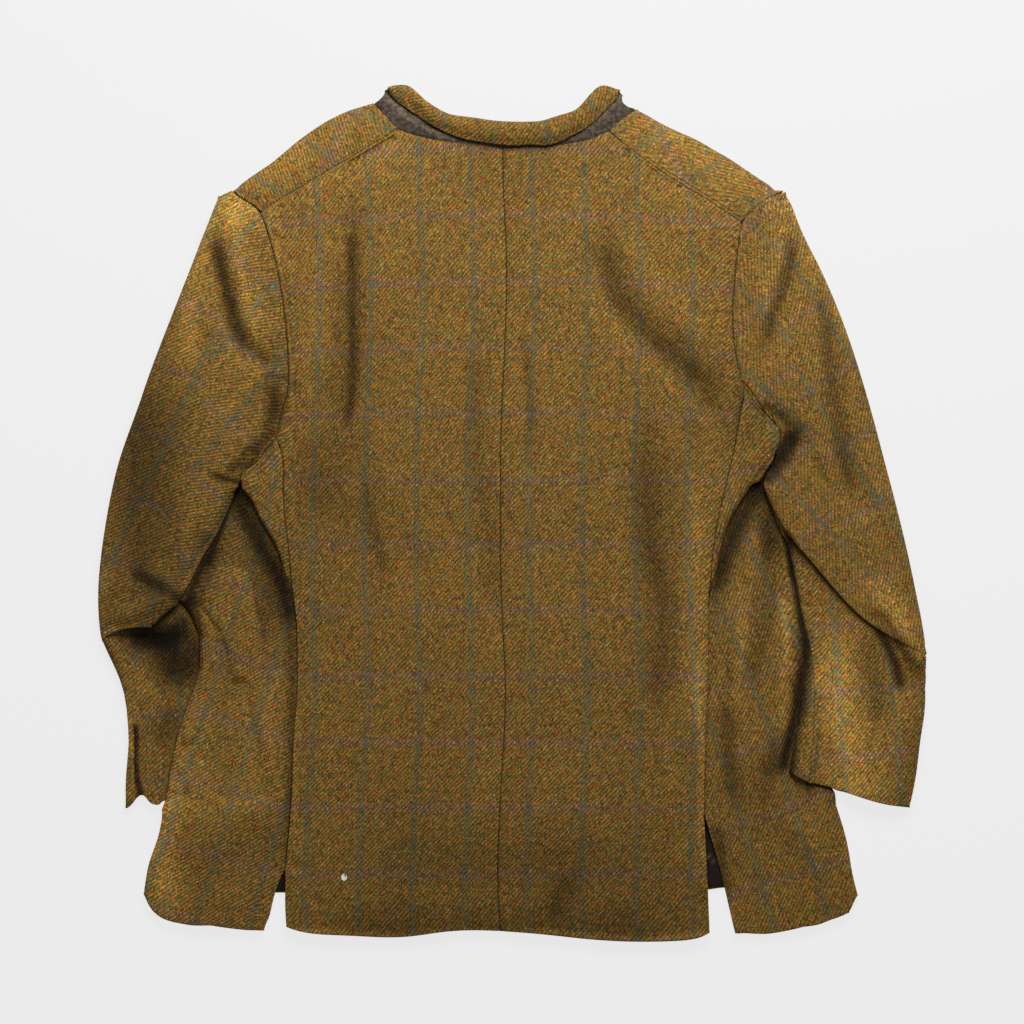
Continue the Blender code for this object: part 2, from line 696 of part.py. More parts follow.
def build_front(side):
    """A front panel: flat on the surface, folded over the shoulder to the shoulder seam."""
    edge = FRONT_EDGE[side]
    seam = front_seam_line(side)
    hem_y = FRONT_HEM_Y[side]
    hem = (
        (edge, FRONT_CORNER_Y + 46),
        (edge + side * 5, FRONT_CORNER_Y + 22),
        (edge + side * 24, FRONT_CORNER_Y + 4),
        (edge + side * 60, FRONT_CORNER_Y),
        (side * 140, FRONT_CORNER_Y + 12),
        (side * 182, hem_y - 2),
        (side * 225, hem_y),
        (seam[0][0], hem_y),
    )
    neck = SHOULDER_FOLD[side][0]
    inner = (
        hem[0],
        (edge, -200),
        (edge, BUTTON_STANCE_Y - 12),
        (edge + 0.25 * (neck[0] - edge), BUTTON_STANCE_Y + 0.25 * (neck[1] - BUTTON_STANCE_Y)),
        (edge + 0.6 * (neck[0] - edge), BUTTON_STANCE_Y + 0.6 * (neck[1] - BUTTON_STANCE_Y)),
        neck,
    )
    outer = seam + UNDER_ARMHOLE[side][:-2][::-1]
    across = np.array([0, 0.16, 0.32, 0.47, 0.61, 0.73, 0.83, 0.91, 0.96, 1.0])
    down = np.concatenate([np.linspace(0, 0.86, 18), [0.91, 0.95, 0.98]])
    plan = patch(hem, SHOULDER_FOLD[side], inner, outer, across, down)
    fold = along(SHOULDER_FOLD[side], across)
    seam_top = along(SHOULDER_SEAM[side], across)
    toward = (seam_top - fold) / np.linalg.norm(seam_top - fold, axis=1, keepdims=True)
    fold = fold + toward * EDGE
    fold_height = 13.0 + 4.0 * across
    x, y = plan[..., 0], plan[..., 1]
    lift = under_fronts(side, x, y)
    if side < 0:
        lift = np.maximum(lift, under_left_body(x, y))
    reach = np.hypot(fold[None, :, 0] - x, fold[None, :, 1] - y)
    near = np.clip(1 - reach / 74, 0, 1) ** 2
    z = FLOOR + lift + near * (fold_height[None] - 5.0 - FLOOR - lift)
    grid = [np.dstack([x, y, z]), np.column_stack([fold, fold_height])[None]]
    seam_height = back_height(seam_top[:, 0], seam_top[:, 1])
    armhole = ARMHOLE[side][: ARMHOLE_TOP[side] + 1]
    for part in (0.12, 0.4, 0.7, 1.0):
        place = fold + (seam_top - fold) * part
        bowed = along(armhole, [part])[0] - along((armhole[0], armhole[-1]), [part])[0]
        place = place + bowed * across[:, None] ** 3
        rise = math.sin(0.5 * math.pi * part) ** 0.8
        level = fold_height + 3.0 + (seam_height - fold_height - 3.0) * rise
        grid.append(np.column_stack([place, level])[None])
    grid = inset(np.concatenate(grid), end=0.5 * BENT_SEAM, last=0.4)
    grid[-5:, -1, 0] -= side * 1.2
    grid[-5:, 0, 0] += side * 0.6
    if side > 0:
        grid = grid[:, ::-1]
    return cloth(f"front_{side_name(side)}", grid, TWEED_DARK)


def drawn_in(plan, across):
    """Brings both edges of each row in, so that the outside of the fold is on the outline."""
    way = plan[:, -1:] - plan[:, :1]
    way = way / np.linalg.norm(way, axis=2, keepdims=True)
    share = EDGE * (np.clip(1 - across / 0.15, 0, 1) - np.clip(1 - (1 - across) / 0.15, 0, 1))
    return plan + way * share[None, :, None]


def sleeve_level(side, across, plan, at):
    """Top height over a row of the sleeve, and how it rounds off toward both edges."""
    columns = "inner middle outer round_in round_out".split()
    values = {name: float(read(SLEEVE_TOP[side], name, at, key="at")) for name in columns}
    run = np.concatenate([[0], np.cumsum(np.linalg.norm(np.diff(plan, axis=0), axis=1))])
    levels = [values["inner"], values["inner"], values["middle"], values["outer"], values["outer"]]
    middle = 0.5 if side > 0 or at < 1 else 0.72
    level = np.interp(across, [0, 0.12, middle, 0.88, 1], levels)
    level = np.convolve(np.pad(level, 2, mode="edge"), np.array([1, 2, 3, 2, 1]) / 9, mode="valid")
    inner_part = np.clip(run / values["round_in"], 0, 1)
    outer_part = np.clip((run[-1] - run) / values["round_out"], 0, 1)
    shape = np.minimum(np.sqrt(1 - (1 - inner_part) ** 2), np.sqrt(1 - (1 - outer_part) ** 2))
    return level, shape


def rest_level(side, plan):
    """Middle of the sleeve's lower layer where it rests on what is below."""
    x, y = plan[:, 0], plan[:, 1]
    return FLOOR + (under_right_forearm(x, y) if side > 0 else over_buttons(x, y))


def elbow_rows(side, across, fold, back_way, forearm_start):
    """The rows at the elbow: the upper arm's edge, the tuck beneath it and the forearm's start."""
    high_level, shape = sleeve_level(side, across, fold, 1.0)
    low_level, _ = sleeve_level(side, across, fold, 1.04)
    base = rest_level(side, fold)
    edge = 0.5 * (np.minimum(high_level, low_level) + base)
    high = edge + (high_level - edge) * shape
    low = edge + (low_level - edge) * shape
    gap = np.maximum(high - low, 0)
    tuck = ELBOW_TUCK[side] * smooth_step((1 - across) * 2.6) * smooth_step(across * 9 + 0.12)
    hidden = tuck * smooth_step((gap - 3.0) / 3.0)
    ahead = 1.2 * (1 - smooth_step(hidden / 2))
    steps = table(
        "back forward drop",
        (0.0, 0.0, 0.06),
        (0.0, 0.6, 0.24),
        (-0.55, 1.2, 0.46),
        (-1.0, 1.9, 0.62),
        (-0.72, 2.6, 0.86),
        (-0.2, 3.4, 0.97),
    )
    rows = []
    for number, (back, forward, drop) in enumerate(zip(steps["back"], steps["forward"], steps["drop"])):
        place = fold - back_way * (back * hidden + forward * ahead)[:, None]
        low_place = fold + (forearm_start - fold) * number / len(steps["drop"])
        base = rest_level(side, low_place)
        rows.append((place, high + (low - high) * drop, low_place, base, 1.0 + 0.003 * number))
    return rows


def sleeve_rows(side, across):
    """The sleeve's sections from armhole to cuff: top places and heights, then the lower ones."""
    upper = np.concatenate([[0, 0.03], np.linspace(0.09, 0.88, 10), [0.95, 0.985]])
    fore = np.concatenate([[0.03, 0.08], np.linspace(0.16, 1.0, 8)])
    corner = (BACK_SIDE[side][-1],)
    armhole = corner + ARMHOLE[side][: UNDERARM[side]][::-1]
    under_armhole = UNDER_ARMHOLE[side][::-1]
    inner, outer = SLEEVE_INNER[side], SLEEVE_OUTER[side]
    lip = corner + ARMHOLE[side][UNDERARM[side] :]
    lip_length = float(np.linalg.norm(np.diff(np.array(lip), axis=0), axis=1).sum())
    edge_length = float(np.linalg.norm(np.diff(np.array(inner[0]), axis=0), axis=1).sum())
    whole_length = lip_length + edge_length
    lip_down = (lip_length * np.minimum(upper / LIP_ROWS, 1) + edge_length * upper) / whole_length
    arm = patch(armhole, ELBOW_FOLD[side], lip + inner[0][1:], outer[0], across, upper, lip_down)
    arm = drawn_in(arm, across)
    under_arm = drawn_in(patch(under_armhole, ELBOW_FOLD[side], inner[0], outer[0], across, upper), across)
    fold = drawn_in(along(ELBOW_FOLD[side], across)[None], across)[0]
    cuff = drawn_in(patch(ELBOW_FOLD[side], CUFF[side], inner[1], outer[1], across, fore), across)
    back_way = arm[-2] - fold
    back_way /= np.linalg.norm(back_way, axis=1, keepdims=True)
    armhole_edge = np.interp(across, [0, 1], [9.0, 15.5])
    rows = []
    for plan, low_plan, at in zip(arm, under_arm, upper):
        level, shape = sleeve_level(side, across, plan, at)
        base = rest_level(side, low_plan)
        opening = float(smooth_step(at / 0.25))
        edge = armhole_edge * (1 - opening) + 0.5 * (level + base) * opening
        z = edge + (level - edge) * shape
        near = float(1 - smooth_step(at / 0.16))
        body = np.minimum(back_height(plan[:, 0], plan[:, 1]), 30.5)
        outer_end = smooth_step((1 - across) / 0.14)
        seam_z = body * outer_end + 17.0 * (1 - outer_end)
        z = z + (seam_z - z) * near
        rows.append((plan, z, low_plan, base, at, edge, shape))
    fold_rows = elbow_rows(side, across, fold, back_way, cuff[0])
    for plan, z, low_plan, base, at in fold_rows:
        shape = sleeve_level(side, across, fold, at)[1]
        rows.append((plan, z, low_plan, base, at, 0.5 * (z + base), shape))
    for plan, share in zip(cuff, fore):
        level, shape = sleeve_level(side, across, plan, 1 + share)
        base = rest_level(side, plan)
        edge = 0.5 * (level + base)
        rows.append((plan, edge + (level - edge) * shape, plan, base, 1 + share, edge, shape))
    sections = []
    for plan, z, low_plan, base, at, edge, shape in rows:
        if not 1.0 <= at < 1.02:
            folds = fold_depth(SLEEVE_FOLDS[side], plan[:, 0], plan[:, 1])
            z = np.maximum(z - folds * float(smooth_step(at / 0.08)), base + LAYER - 0.2)
        low_z = edge + (base - edge) * (1 - (1 - np.minimum(shape * 1.15, 1)) ** 1.5)
        rise = smooth_step((across - 0.72) / 0.28) * float(1 - smooth_step(at / 0.2))
        low_z = low_z + 0.6 * rise * (10.0 - low_z)
        sections.append((plan, z, low_plan, low_z, at))
    return sections


def build_sleeve(side):
    """The two panels of a sleeve: the under sleeve faces up, the top sleeve wraps round it."""
    across = np.linspace(0, 1, 41)
    seams = SLEEVE_SEAMS[side]
    under_columns = np.array([0, 0.04, 0.12, 0.25, 0.4, 0.56, 0.72, 0.86, 0.96, 1.0])
    strip = np.array([0, 0.35, 0.7, 0.92])
    under_only = np.array([1.0, 1.03, 1.1, 1.28, 1.55, 1.8, 1.93, 1.97])
    past_inner_edge = np.array([1.0, 1.03, 1.15, 1.36, 1.6, 1.86, 1.985, 2.02])
    under_grid = []
    top_grid = []
    for place, z, low_place, low_z, at in sleeve_rows(side, across):
        upper_ring = np.column_stack([place, z])
        edge_in = np.append(0.5 * (place[0] + low_place[0]), 0.5 * (z[0] + low_z[0]))
        edge_out = np.append(0.5 * (place[-1] + low_place[-1]), 0.5 * (z[-1] + low_z[-1]))
        lower_ring = np.column_stack([low_place, low_z])
        ring = np.concatenate([[edge_in], upper_ring[1:-1], [edge_out], lower_ring[1:-1][::-1], [edge_in]])
        share = np.concatenate([across, 1 + across[1:]])

        def at_share(values):
            values = np.mod(values, 2.0)
            return np.column_stack([np.interp(values, share, ring[:, i]) for i in range(3)])

        def seam_gap(middle):
            """Half the space at a seam, wider where the cloth bends there."""
            reach = 3.0 / float(np.linalg.norm(place[-1] - place[0]))
            before, here, after = at_share(np.array([middle - reach, middle, middle + reach]))
            a, b = here - before, after - here
            cosine = float(np.clip(a @ b / np.linalg.norm(a) / np.linalg.norm(b), -1, 1))
            space = SEAM + 0.5 + 2.5 * math.tan(0.5 * min(math.acos(cosine), 1.9))
            slanting = float(smooth_step((at - 0.97) / 0.05) * smooth_step((1.7 - at) / 0.2))
            if middle < 0.5:
                space += 0.5 + 1.7 * float(smooth_step((1.5 - at) / 0.3)) + SLANT_SEAM[side] * slanting
            else:
                space += 0.7 * slanting
            return 0.5 * space * reach * 2 / float(np.linalg.norm(a) + np.linalg.norm(b))

        front = float(read(seams, "front", at, key="at"))
        hind = float(read(seams, "hind", at, key="at"))
        front_gap, hind_gap = seam_gap(front), seam_gap(hind)
        if side < 0 and at > CUFF_VENT_FROM:
            hind_gap = max(hind_gap, 0.5 * CUFF_VENT_GAP / float(np.linalg.norm(place[-1] - place[0])))
        start, end = front + front_gap, hind - hind_gap
        under_grid.append(at_share(start + (end - start) * under_columns))
        start, end = hind + hind_gap, 2.0 + front - front_gap
        share_past = float(smooth_step(front / 0.1))
        round_columns = under_only + (past_inner_edge - under_only) * share_past
        columns = np.concatenate([start + (max(1.0, start + 0.05) - start) * strip, round_columns, [end]])
        columns = np.maximum(columns, start + 0.012 * np.arange(len(columns)))
        columns = np.minimum(columns, end - 0.012 * np.arange(len(columns))[::-1])
        top_grid.append(at_share(columns))
    for kind, grid in (("under_sleeve", under_grid), ("top_sleeve", top_grid)):
        grid = inset(np.array(grid), start=0.8)
        if side > 0:
            grid = grid[:, ::-1]
        cloth(f"{kind}_{side_name(side)}", grid, TWEED)


def collar_lines(count):
    share = np.linspace(0, 1, count)
    return share, along(COLLAR_TOP, share), along(COLLAR_EDGE, share), along(NECK_SEAM, share)


def build_collar():
    """The tweed collar: its stand rises inside the neck, folds over and shows as a narrow band."""
    share, top, edge, neck = collar_lines(26)
    ends = smooth_step(np.minimum(share, 1 - share) / 0.2)
    fold_z = COLLAR_END_HEIGHT + (COLLAR_HEIGHT - COLLAR_END_HEIGHT) * ends
    way = (neck - top) / np.linalg.norm(neck - top, axis=1, keepdims=True)
    lines = (
        (edge, fold_z - 0.6),
        (edge + (top - edge) * 0.3, fold_z + 1.6),
        (edge + (top - edge) * 0.62, fold_z + 2.0),
        (top + way * 3.4, fold_z + 0.8),
        (top + way * 1.6, fold_z - 1.6),
        (top + way * 1.1, fold_z - 4.0),
        (top + way * 1.8, fold_z - 6.6),
        (top + way * 4.4, fold_z - 8.4),
        (top + way * 8.0, fold_z - 8.8),
    )
    grid = np.stack([np.column_stack([place, z]) for place, z in lines])
    return cloth("collar", grid, TWEED)


def build_undercollar():
    """The felt undercollar, from the neck seam up into the fold of the collar."""
    share, top, edge, neck = collar_lines(26)
    ends = smooth_step(np.minimum(share, 1 - share) / 0.2)
    fold_z = COLLAR_END_HEIGHT + (COLLAR_HEIGHT - COLLAR_END_HEIGHT) * ends
    away = (top - neck) / np.linalg.norm(top - neck, axis=1, keepdims=True)
    near_end = smooth_step((0.26 - np.minimum(share, 1 - share)) / 0.12)
    reach = (np.linalg.norm(top - neck, axis=1) - 6.8 - 5.0 * near_end)[:, None]
    shoulder = smooth_step((0.12 - np.minimum(share, 1 - share)) / 0.12)
    seam_z = back_height(neck[:, 0], neck[:, 1]) + 0.6
    seam_z = seam_z + (17.5 - seam_z) * shoulder
    inner_z = fold_z - 4.6
    lines = (
        (neck + away * 1.6, seam_z + 0.2),
        (neck + away * np.minimum(4.0, 0.28 * reach), seam_z + 0.3 * (inner_z - seam_z) + 0.5),
        (neck + away * 0.45 * reach, seam_z + 0.62 * (inner_z - seam_z) + 0.4),
        (neck + away * 0.72 * reach, inner_z - 0.1),
        (neck + away * reach, inner_z),
    )
    grid = np.stack([np.column_stack([place, z]) for place, z in lines])
    return cloth("undercollar", grid, MELTON, FELT)


def build_lining(side):
    """The piece of front lining that shows in a side vent."""
    vent = {-1: (-262, -196, -363.5, -336), 1: (168, 236, -359.5, -286)}[side]
    x0, x1, y0, y1 = vent
    x, y = np.meshgrid(np.linspace(x0, x1, 6), np.linspace(y0, y1, 5))
    lift = under_left_body(x, y) if side < 0 else 0.0 * x
    z = FLOOR + lift + 0.5 * (CLOTH + LINING) + 0.8
    return cloth(f"lining_{side_name(side)}", np.dstack([x, y, z]), SATEEN, LINING)


for old in list(bpy.data.objects):
    bpy.data.objects.remove(old, do_unlink=True)
parts = bpy.data.collections.new("tweed_coat")
bpy.context.scene.collection.children.link(parts)

for side in (-1, 1):
    build_back(side)
    build_side(side)
    build_front(side)
    build_sleeve(side)
    build_lining(side)
build_collar()
build_undercollar()
for number, (x, y) in enumerate(CUFF_BUTTONS):
    button(f"cuff_button_{number + 1}", (x, y, 0.5 * BUTTON_THICKNESS), (math.pi, 0, 0))
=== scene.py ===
import math

import bmesh
import bpy
import numpy as np
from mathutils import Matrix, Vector, kdtree
from mathutils.bvhtree import BVHTree


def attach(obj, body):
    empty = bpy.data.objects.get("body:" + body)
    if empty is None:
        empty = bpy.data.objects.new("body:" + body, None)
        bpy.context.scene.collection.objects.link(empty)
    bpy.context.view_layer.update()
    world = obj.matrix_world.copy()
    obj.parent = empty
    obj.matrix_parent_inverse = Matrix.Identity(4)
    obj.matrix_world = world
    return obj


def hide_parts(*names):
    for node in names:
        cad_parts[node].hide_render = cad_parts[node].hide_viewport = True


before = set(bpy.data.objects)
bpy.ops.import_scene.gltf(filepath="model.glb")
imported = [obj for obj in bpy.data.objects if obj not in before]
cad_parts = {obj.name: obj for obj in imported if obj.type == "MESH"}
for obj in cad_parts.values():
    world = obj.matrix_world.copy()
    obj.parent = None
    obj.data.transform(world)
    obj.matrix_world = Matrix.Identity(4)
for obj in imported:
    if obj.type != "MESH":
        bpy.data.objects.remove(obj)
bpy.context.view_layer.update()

MM = 0.001

# ---------------------------------------------------------------- the back
# Two panels of brown-olive woollen tweed, cut on the straight and joined by the centre back
# seam. The cloth is a 2/2 twill of thick yarn with flecks of mustard, orange, olive, teal and
# purple, crossed by faint teal and purple lines. Pressing and wear leave soft creases in it.

# Each crease is a soft trough along a bent line: depth, width, then the line, in millimetres.
# A depth below zero makes a ridge.
BACK_CREASES = (
    (5.0, 8, ((-156, 286), (-150, 210), (-150, 160), (-153, 118), (-166, 70))),
    (-1.4, 10, ((-184, 262), (-180, 190), (-186, 120))),
    (4.0, 20, ((-176, 92), (-156, 50), (-136, 4), (-108, -42), (-86, -84))),
    (4.6, 13, ((86, 264), (84, 238), (92, 202), (122, 166), (152, 140), (180, 116), (194, 92))),
    (-2.2, 14, ((114, 276), (118, 232), (148, 190), (190, 158))),
    (4.6, 13, ((126, 84), (138, 40), (148, -18), (156, -72), (158, -140), (162, -230),
               (160, -330))),
    (-3.6, 10, ((166, 70), (176, 1), (181, -47), (184, -104), (184, -190), (186, -290),
                (184, -380))),
    (2.8, 13, ((-24, 186), (-30, 120), (-30, 60), (-16, -18), (-12, -130))),
    (1.8, 5, ((8, 168), (14, 107), (18, 69), (16, 30))),
    (1.4, 9, ((-100, 262), (-84, 196), (-88, 150))),
    (2.4, 11, ((62, -316), (40, -356), (24, -400))),
    (1.6, 14, ((24, -330), (46, -362), (78, -398))),
    (5.0, 6, ((-206, 126), (-212, 92), (-222, 64), (-244, 42), (-262, 28))),
    (2.4, 9, ((224, 122), (230, 80), (220, 40))),
    (4.0, 6, ((232, 118), (254, 98), (262, 76), (250, 54), (236, 30))),
    (1.6, 18, ((70, -150), (84, -200), (100, -250))),
    (1.6, 20, ((-90, -110), (-112, -160), (-124, -230))),
    (1.4, 12, ((-56, 300), (-74, 328), (-96, 352))),
    (1.4, 12, ((60, 296), (82, 322), (104, 348))),
    (1.4, 4, ((-216, -341), (-207, -342), (-196, -346))),
)
# painted shade in halvings, width, then the line, and for some the height that only lower cloth
# has;
# below zero it is a painted highlight
BACK_PAINTED_SHADE_AND_HIGHLIGHTS = (
    (1.7, 5, ((-153, 268), (-153, 230), (-152, 160), (-154, 104), (-160, 84))),
    (0.4, 9, ((-164, 250), (-164, 180), (-168, 100))),
    (1.3, 4.5, ((-216, 130), (-218, 104), (-226, 72), (-244, 50), (-260, 38))),
    (0.6, 25, ((-190, 80), (-186, 40), (-176, -20))),
    (0.7, 8, ((-140, 30), (-134, -10), (-122, -66))),
    (0.45, 11, ((-31, 160), (-36, 100), (-34, 50), (-22, -16), (-18, -90))),
    (0.45, 5, ((12, 160), (16, 110), (18, 60))),
    (0.8, 11, ((92, 262), (92, 240), (97, 216), (110, 192), (133, 168), (160, 146), (190, 124))),
    (-0.2, 9, ((114, 276), (124, 232), (152, 194), (192, 164))),
    (-0.9, 3.5, ((-240, -403), (-204, -403), (-108, -409), (-60, -404), (46, -405), (123, -412),
                 (181, -407), (204, -407))),
    (-0.45, 5, ((178, -140), (181, -220), (181, -290), (180, -350))),
    (-0.4, 5, ((-212, -80), (-211, -150), (-210, -220), (-207, -330))),
    (0.35, 14, ((196, 108), (212, 86), (216, 60))),
    (0.3, 8, ((170, 92), (172, 50))),
    (-0.2, 16, ((-196, 250), (-188, 180), (-194, 110))),
    (0.2, 30, ((-60, 330), (0, 320), (60, 330))),
    (0.6, 4, ((-110, 382), (-80, 362), (-40, 351), (0, 347), (40, 350), (82, 362))),
    (-0.3, 14, ((176, 300), (206, 300), (234, 286))),
    (0.3, 18, ((-166, 110), (-160, 30), (-146, -50))),
    (0.25, 16, ((136, 70), (138, 0), (134, -100))),
    (-0.3, 9, ((172, 0), (173, -100), (173, -210))),
    (0.3, 34, ((146, -280), (146, -350), (146, -430))),
    (0.6, 14, ((160, 140), (182, 116), (196, 90))),
    (0.8, 14, ((124, 74), (128, 30), (132, -30), (148, -92), (140, -190))),
    (-0.25, 12, ((168, 40), (178, -30), (182, -110), (182, -230))),
    (1.0, 6, ((226, 128), (222, 96), (216, 66))),
    (1.0, 5, ((262, 84), (258, 62), (246, 38))),
    (0.9, 12, ((62, -344), (46, -370), (40, -398))),
    (0.8, 24, ((-190, -404), (0, -402), (150, -404))),
    (0.4, 30, ((-150, -330), (0, -340), (140, -330))),
    (-0.5, 16, ((-246, 326), (-234, 270), (-224, 206))),
    (-0.3, 30, ((-230, 330), (-150, 344), (-90, 350))),
    (0.25, 22, ((186, 150), (214, 116), (220, 90))),
)
CENTRE_SEAM = (  # height up the coat, where the seam lies across
    (-412, -10), (-368, -14), (-270, -11), (-176, -6), (-60, -11),
    (60, -11), (181, -6), (236, -5), (300, -8), (349, -9),
)
CHECK_ACROSS = 50.0  # from one teal line to the next
CHECK_ALONG = 63.2  # from one purple line to the next
SHARP_CORNER = 0.6  # a corner of a panel stays sharp where the angles about it fall short by this
CUT_EDGE = {2: 0.36, 3: 0.47, 4: 0.6}  # how sharp a cut edge stays, for each level of rounding


def soft_step(value):
    value = np.clip(value, 0.0, 1.0)
    return value * value * (3.0 - 2.0 * value)


def rounded_cloth(node, levels, name=None):
    """The cloth wall of a node as a finer mesh, its corners merged and its faces rounded."""
    source = bmesh.new()
    source.from_mesh(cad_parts[node].data)
    bmesh.ops.remove_doubles(source, verts=source.verts, dist=0.00001)
    bmesh.ops.join_triangles(
        source, faces=source.faces, angle_face_threshold=0.7, angle_shape_threshold=1.2
    )
    corners = [
        math.tau - sum(corner.calc_angle() for corner in vertex.link_loops) > SHARP_CORNER
        for vertex in source.verts
    ]
    rims = [CUT_EDGE[levels] * (edge.calc_face_angle(0.0) > 1.1) for edge in source.edges]
    mesh = bpy.data.meshes.new(name or node + "_cloth")
    source.to_mesh(mesh)
    source.free()
    mesh.attributes.new("crease_vert", "FLOAT", "POINT").data.foreach_set("value", corners)
    mesh.attributes.new("crease_edge", "FLOAT", "EDGE").data.foreach_set("value", rims)
    piece = bpy.data.objects.new(mesh.name, mesh)
    bpy.context.scene.collection.objects.link(piece)
    rounding = piece.modifiers.new("rounding", "SUBSURF")
    rounding.levels = levels
    rounding.render_levels = levels
    rounded = piece.evaluated_get(bpy.context.evaluated_depsgraph_get())
    fine = bpy.data.meshes.new_from_object(rounded)
    piece.modifiers.clear()
    piece.data = fine
    bpy.data.meshes.remove(mesh)
    fine.name = piece.name
    fine.shade_smooth()
    return piece


def points_of(piece):
    points = np.zeros(len(piece.data.vertices) * 3)
    piece.data.vertices.foreach_get("co", points)
    return points.reshape(-1, 3) / MM


def set_points(piece, points):
    piece.data.vertices.foreach_set("co", (points * MM).ravel())
    piece.data.update()


def strokes(points, table):
    """Adds up soft strokes along bent lines, each fading out at its sides and both ends."""
    flat = points[:, :2]
    total = np.zeros(len(points))
    for strength, width, bends in table:
        line = np.array(bends, float)
        steps = np.diff(line, axis=0)
        lengths = np.hypot(*steps.T)
        whole = lengths.sum()
        aside = np.full(len(points), 1e9)
        run = np.zeros(len(points))
        for start, step, length, before in zip(line, steps, lengths, np.cumsum(lengths) - lengths):
            share = np.clip((flat - start) @ step / length**2, 0, 1)
            distance = np.linalg.norm(flat - start - share[:, None] * step, axis=1)
            nearer = distance < aside
            aside[nearer] = distance[nearer]
            run[nearer] = (before + share * length)[nearer]
        fade = min(0.4 * whole, 3.0 * width)
        ends = soft_step(run / fade + 0.25) * soft_step((whole - run) / fade + 0.25)
        total += strength * ends * np.exp(-((aside / width) ** 2))
    return total


def creased(points, creases, part=1.0):
    """Presses the creases in, never so far that the cloth meets the layer below."""
    down = strokes(points, creases) * part
    room = np.clip(0.42 * (points[:, 2] - 5.5), 0.5, 9.0)
    down = np.where(down > 0, room * np.tanh(down / room), down)
    moved = points.copy()
    moved[:, 2] -= down
    return moved


# where the cloth bulges past its panel's line: how far across and along, width, then the line
BULGES = (
    (0.0, 4.6, 26, ((-236, 340), (-184, 369), (-128, 394))),
    (0.0, 3.2, 26, ((104, 390), (147, 368), (196, 344))),
    (4.4, 0.0, 26, ((400, -120), (392, -190), (384, -240), (378, -300))),
    (-2.6, 0.0, 40, ((-360, 110), (-392, -30), (-392, -150))),
    (-5.5, -3.0, 11, ((-212, 112), (-216, 88), (-226, 68), (-242, 52))),
    (4.0, -1.0, 8, ((250, 84), (256, 70), (252, 58))),
    (3.0, 0.0, 34, ((312, -270), (322, -340), (328, -400))),
    (1.0, -3.6, 20, ((280, -396), (306, -388), (334, -372))),
    (-3.4, 0.0, 26, ((-350, -310), (-352, -372), (-332, -410))),
    (0.0, -4.4, 18, ((-362, -372), (-317, -396), (-290, -402))),
    (0.0, -6.0, 11, ((-246, -380), (-232, -382), (-218, -386))),
    (0.0, -2.6, 30, ((-250, -404), (-10, -412), (220, -404))),
    (0.0, -3.2, 14, ((226, -400), (266, -400), (306, -398))),
    (0.0, 6.0, 6, ((-364, -274), (-356, -277), (-348, -275))),
    (0.0, -5.0, 7, ((-354, -284), (-346, -283), (-338, -281))),
    (-0.6, -1.6, 7, ((-378, -284), (-369, -286), (-362, -284))),
)


def let_out(points):
    """Moves the cloth near the coat's outline to where it really ends."""
    moved = points.copy()
    for across, along, width, line in BULGES:
        share = strokes(points, ((1.0, width, line),))
        moved[:, 0] += across * share
        moved[:, 1] += along * share
    return moved


def paint_shade_and_highlights(piece, points, painted_shade_rows):
    """Stores painted shade in halvings along creases and overlaps; below zero, a painted highlight.
    """
    values = np.zeros(len(points))
    for row in painted_shade_rows:
        below = row[3] if len(row) > 3 else 99
        values += strokes(points, (row[:3],)) * (points[:, 2] < below)
    piece.data.attributes.new("painted_shade", "FLOAT", "POINT").data.foreach_set("value", values)


def lay_pattern(piece, across, along):
    """Writes where each point lies on the cloth, in metres across and along the warp."""
    uv = piece.data.uv_layers.new(name="cloth")
    corners = np.zeros(len(piece.data.loops), int)
    piece.data.loops.foreach_get("vertex_index", corners)
    uv.data.foreach_set("uv", (np.stack([across, along], axis=1)[corners] * MM).ravel())


def back_pattern(points):
    """Teal lines keep their distance from the centre seam; purple lines droop to the shoulders."""
    x, y = points[:, 0], points[:, 1]
    seam_y, seam_x = np.array(CENTRE_SEAM, float).T
    from_seam = x - np.interp(y, seam_y, seam_x)
    spacing = 49.6 + 2.6 * np.clip((60 - y) / 440, 0, 1) + 0.6 * np.sign(from_seam)
    across = np.sign(from_seam) * (np.abs(from_seam) - 29.3) / spacing * CHECK_ACROSS
    droop = 10.0 * (from_seam / 220) ** 2 * soft_step((y - 20) / 160)
    return across, y + 30.2 + droop


def sums(tree, operation, first, second=0.0, third=0.0):
    """One step of arithmetic on sockets or numbers."""
    node = tree.nodes.new("ShaderNodeMath")
    node.operation = operation
    for socket, value in zip(node.inputs, (first, second, third)):
        if isinstance(value, (int, float)):
            socket.default_value = value
        else:
            tree.links.new(value, socket)
    return node.outputs[0]


def blended(tree, share, first, second, way="MIX"):
    """Mixes two colours by a share that is a socket or a number."""
    node = tree.nodes.new("ShaderNodeMix")
    node.data_type = "RGBA"
    node.blend_type = way
    for place, value in ((0, share), (6, first), (7, second)):
        socket = node.inputs[place]
        if isinstance(value, (int, float)):
            socket.default_value = value
        elif isinstance(value, tuple):
            socket.default_value = (*value, 1.0)
        else:
            tree.links.new(value, socket)
    return node.outputs[2]


def chosen(tree, factor, shades):
    """A yarn colour out of a blend: each shade takes its share of the random factor."""
    node = tree.nodes.new("ShaderNodeValToRGB")
    ramp = node.color_ramp
    ramp.interpolation = "CONSTANT"
    at = 0.0
    for index, (share, colour) in enumerate(shades):
        stop = ramp.elements[index] if index < 2 else ramp.elements.new(at)
        stop.position = at
        stop.color = (*colour, 1.0)
        at += share
    tree.links.new(factor, node.inputs[0])
    return node.outputs[0]


def noise(tree, vector, scale, detail=2.0, rough=0.5):
    node = tree.nodes.new("ShaderNodeTexNoise")
    node.inputs["Scale"].default_value = scale
    node.inputs["Detail"].default_value = detail
    node.inputs["Roughness"].default_value = rough
    tree.links.new(vector, node.inputs["Vector"])
    return node.outputs["Fac"]


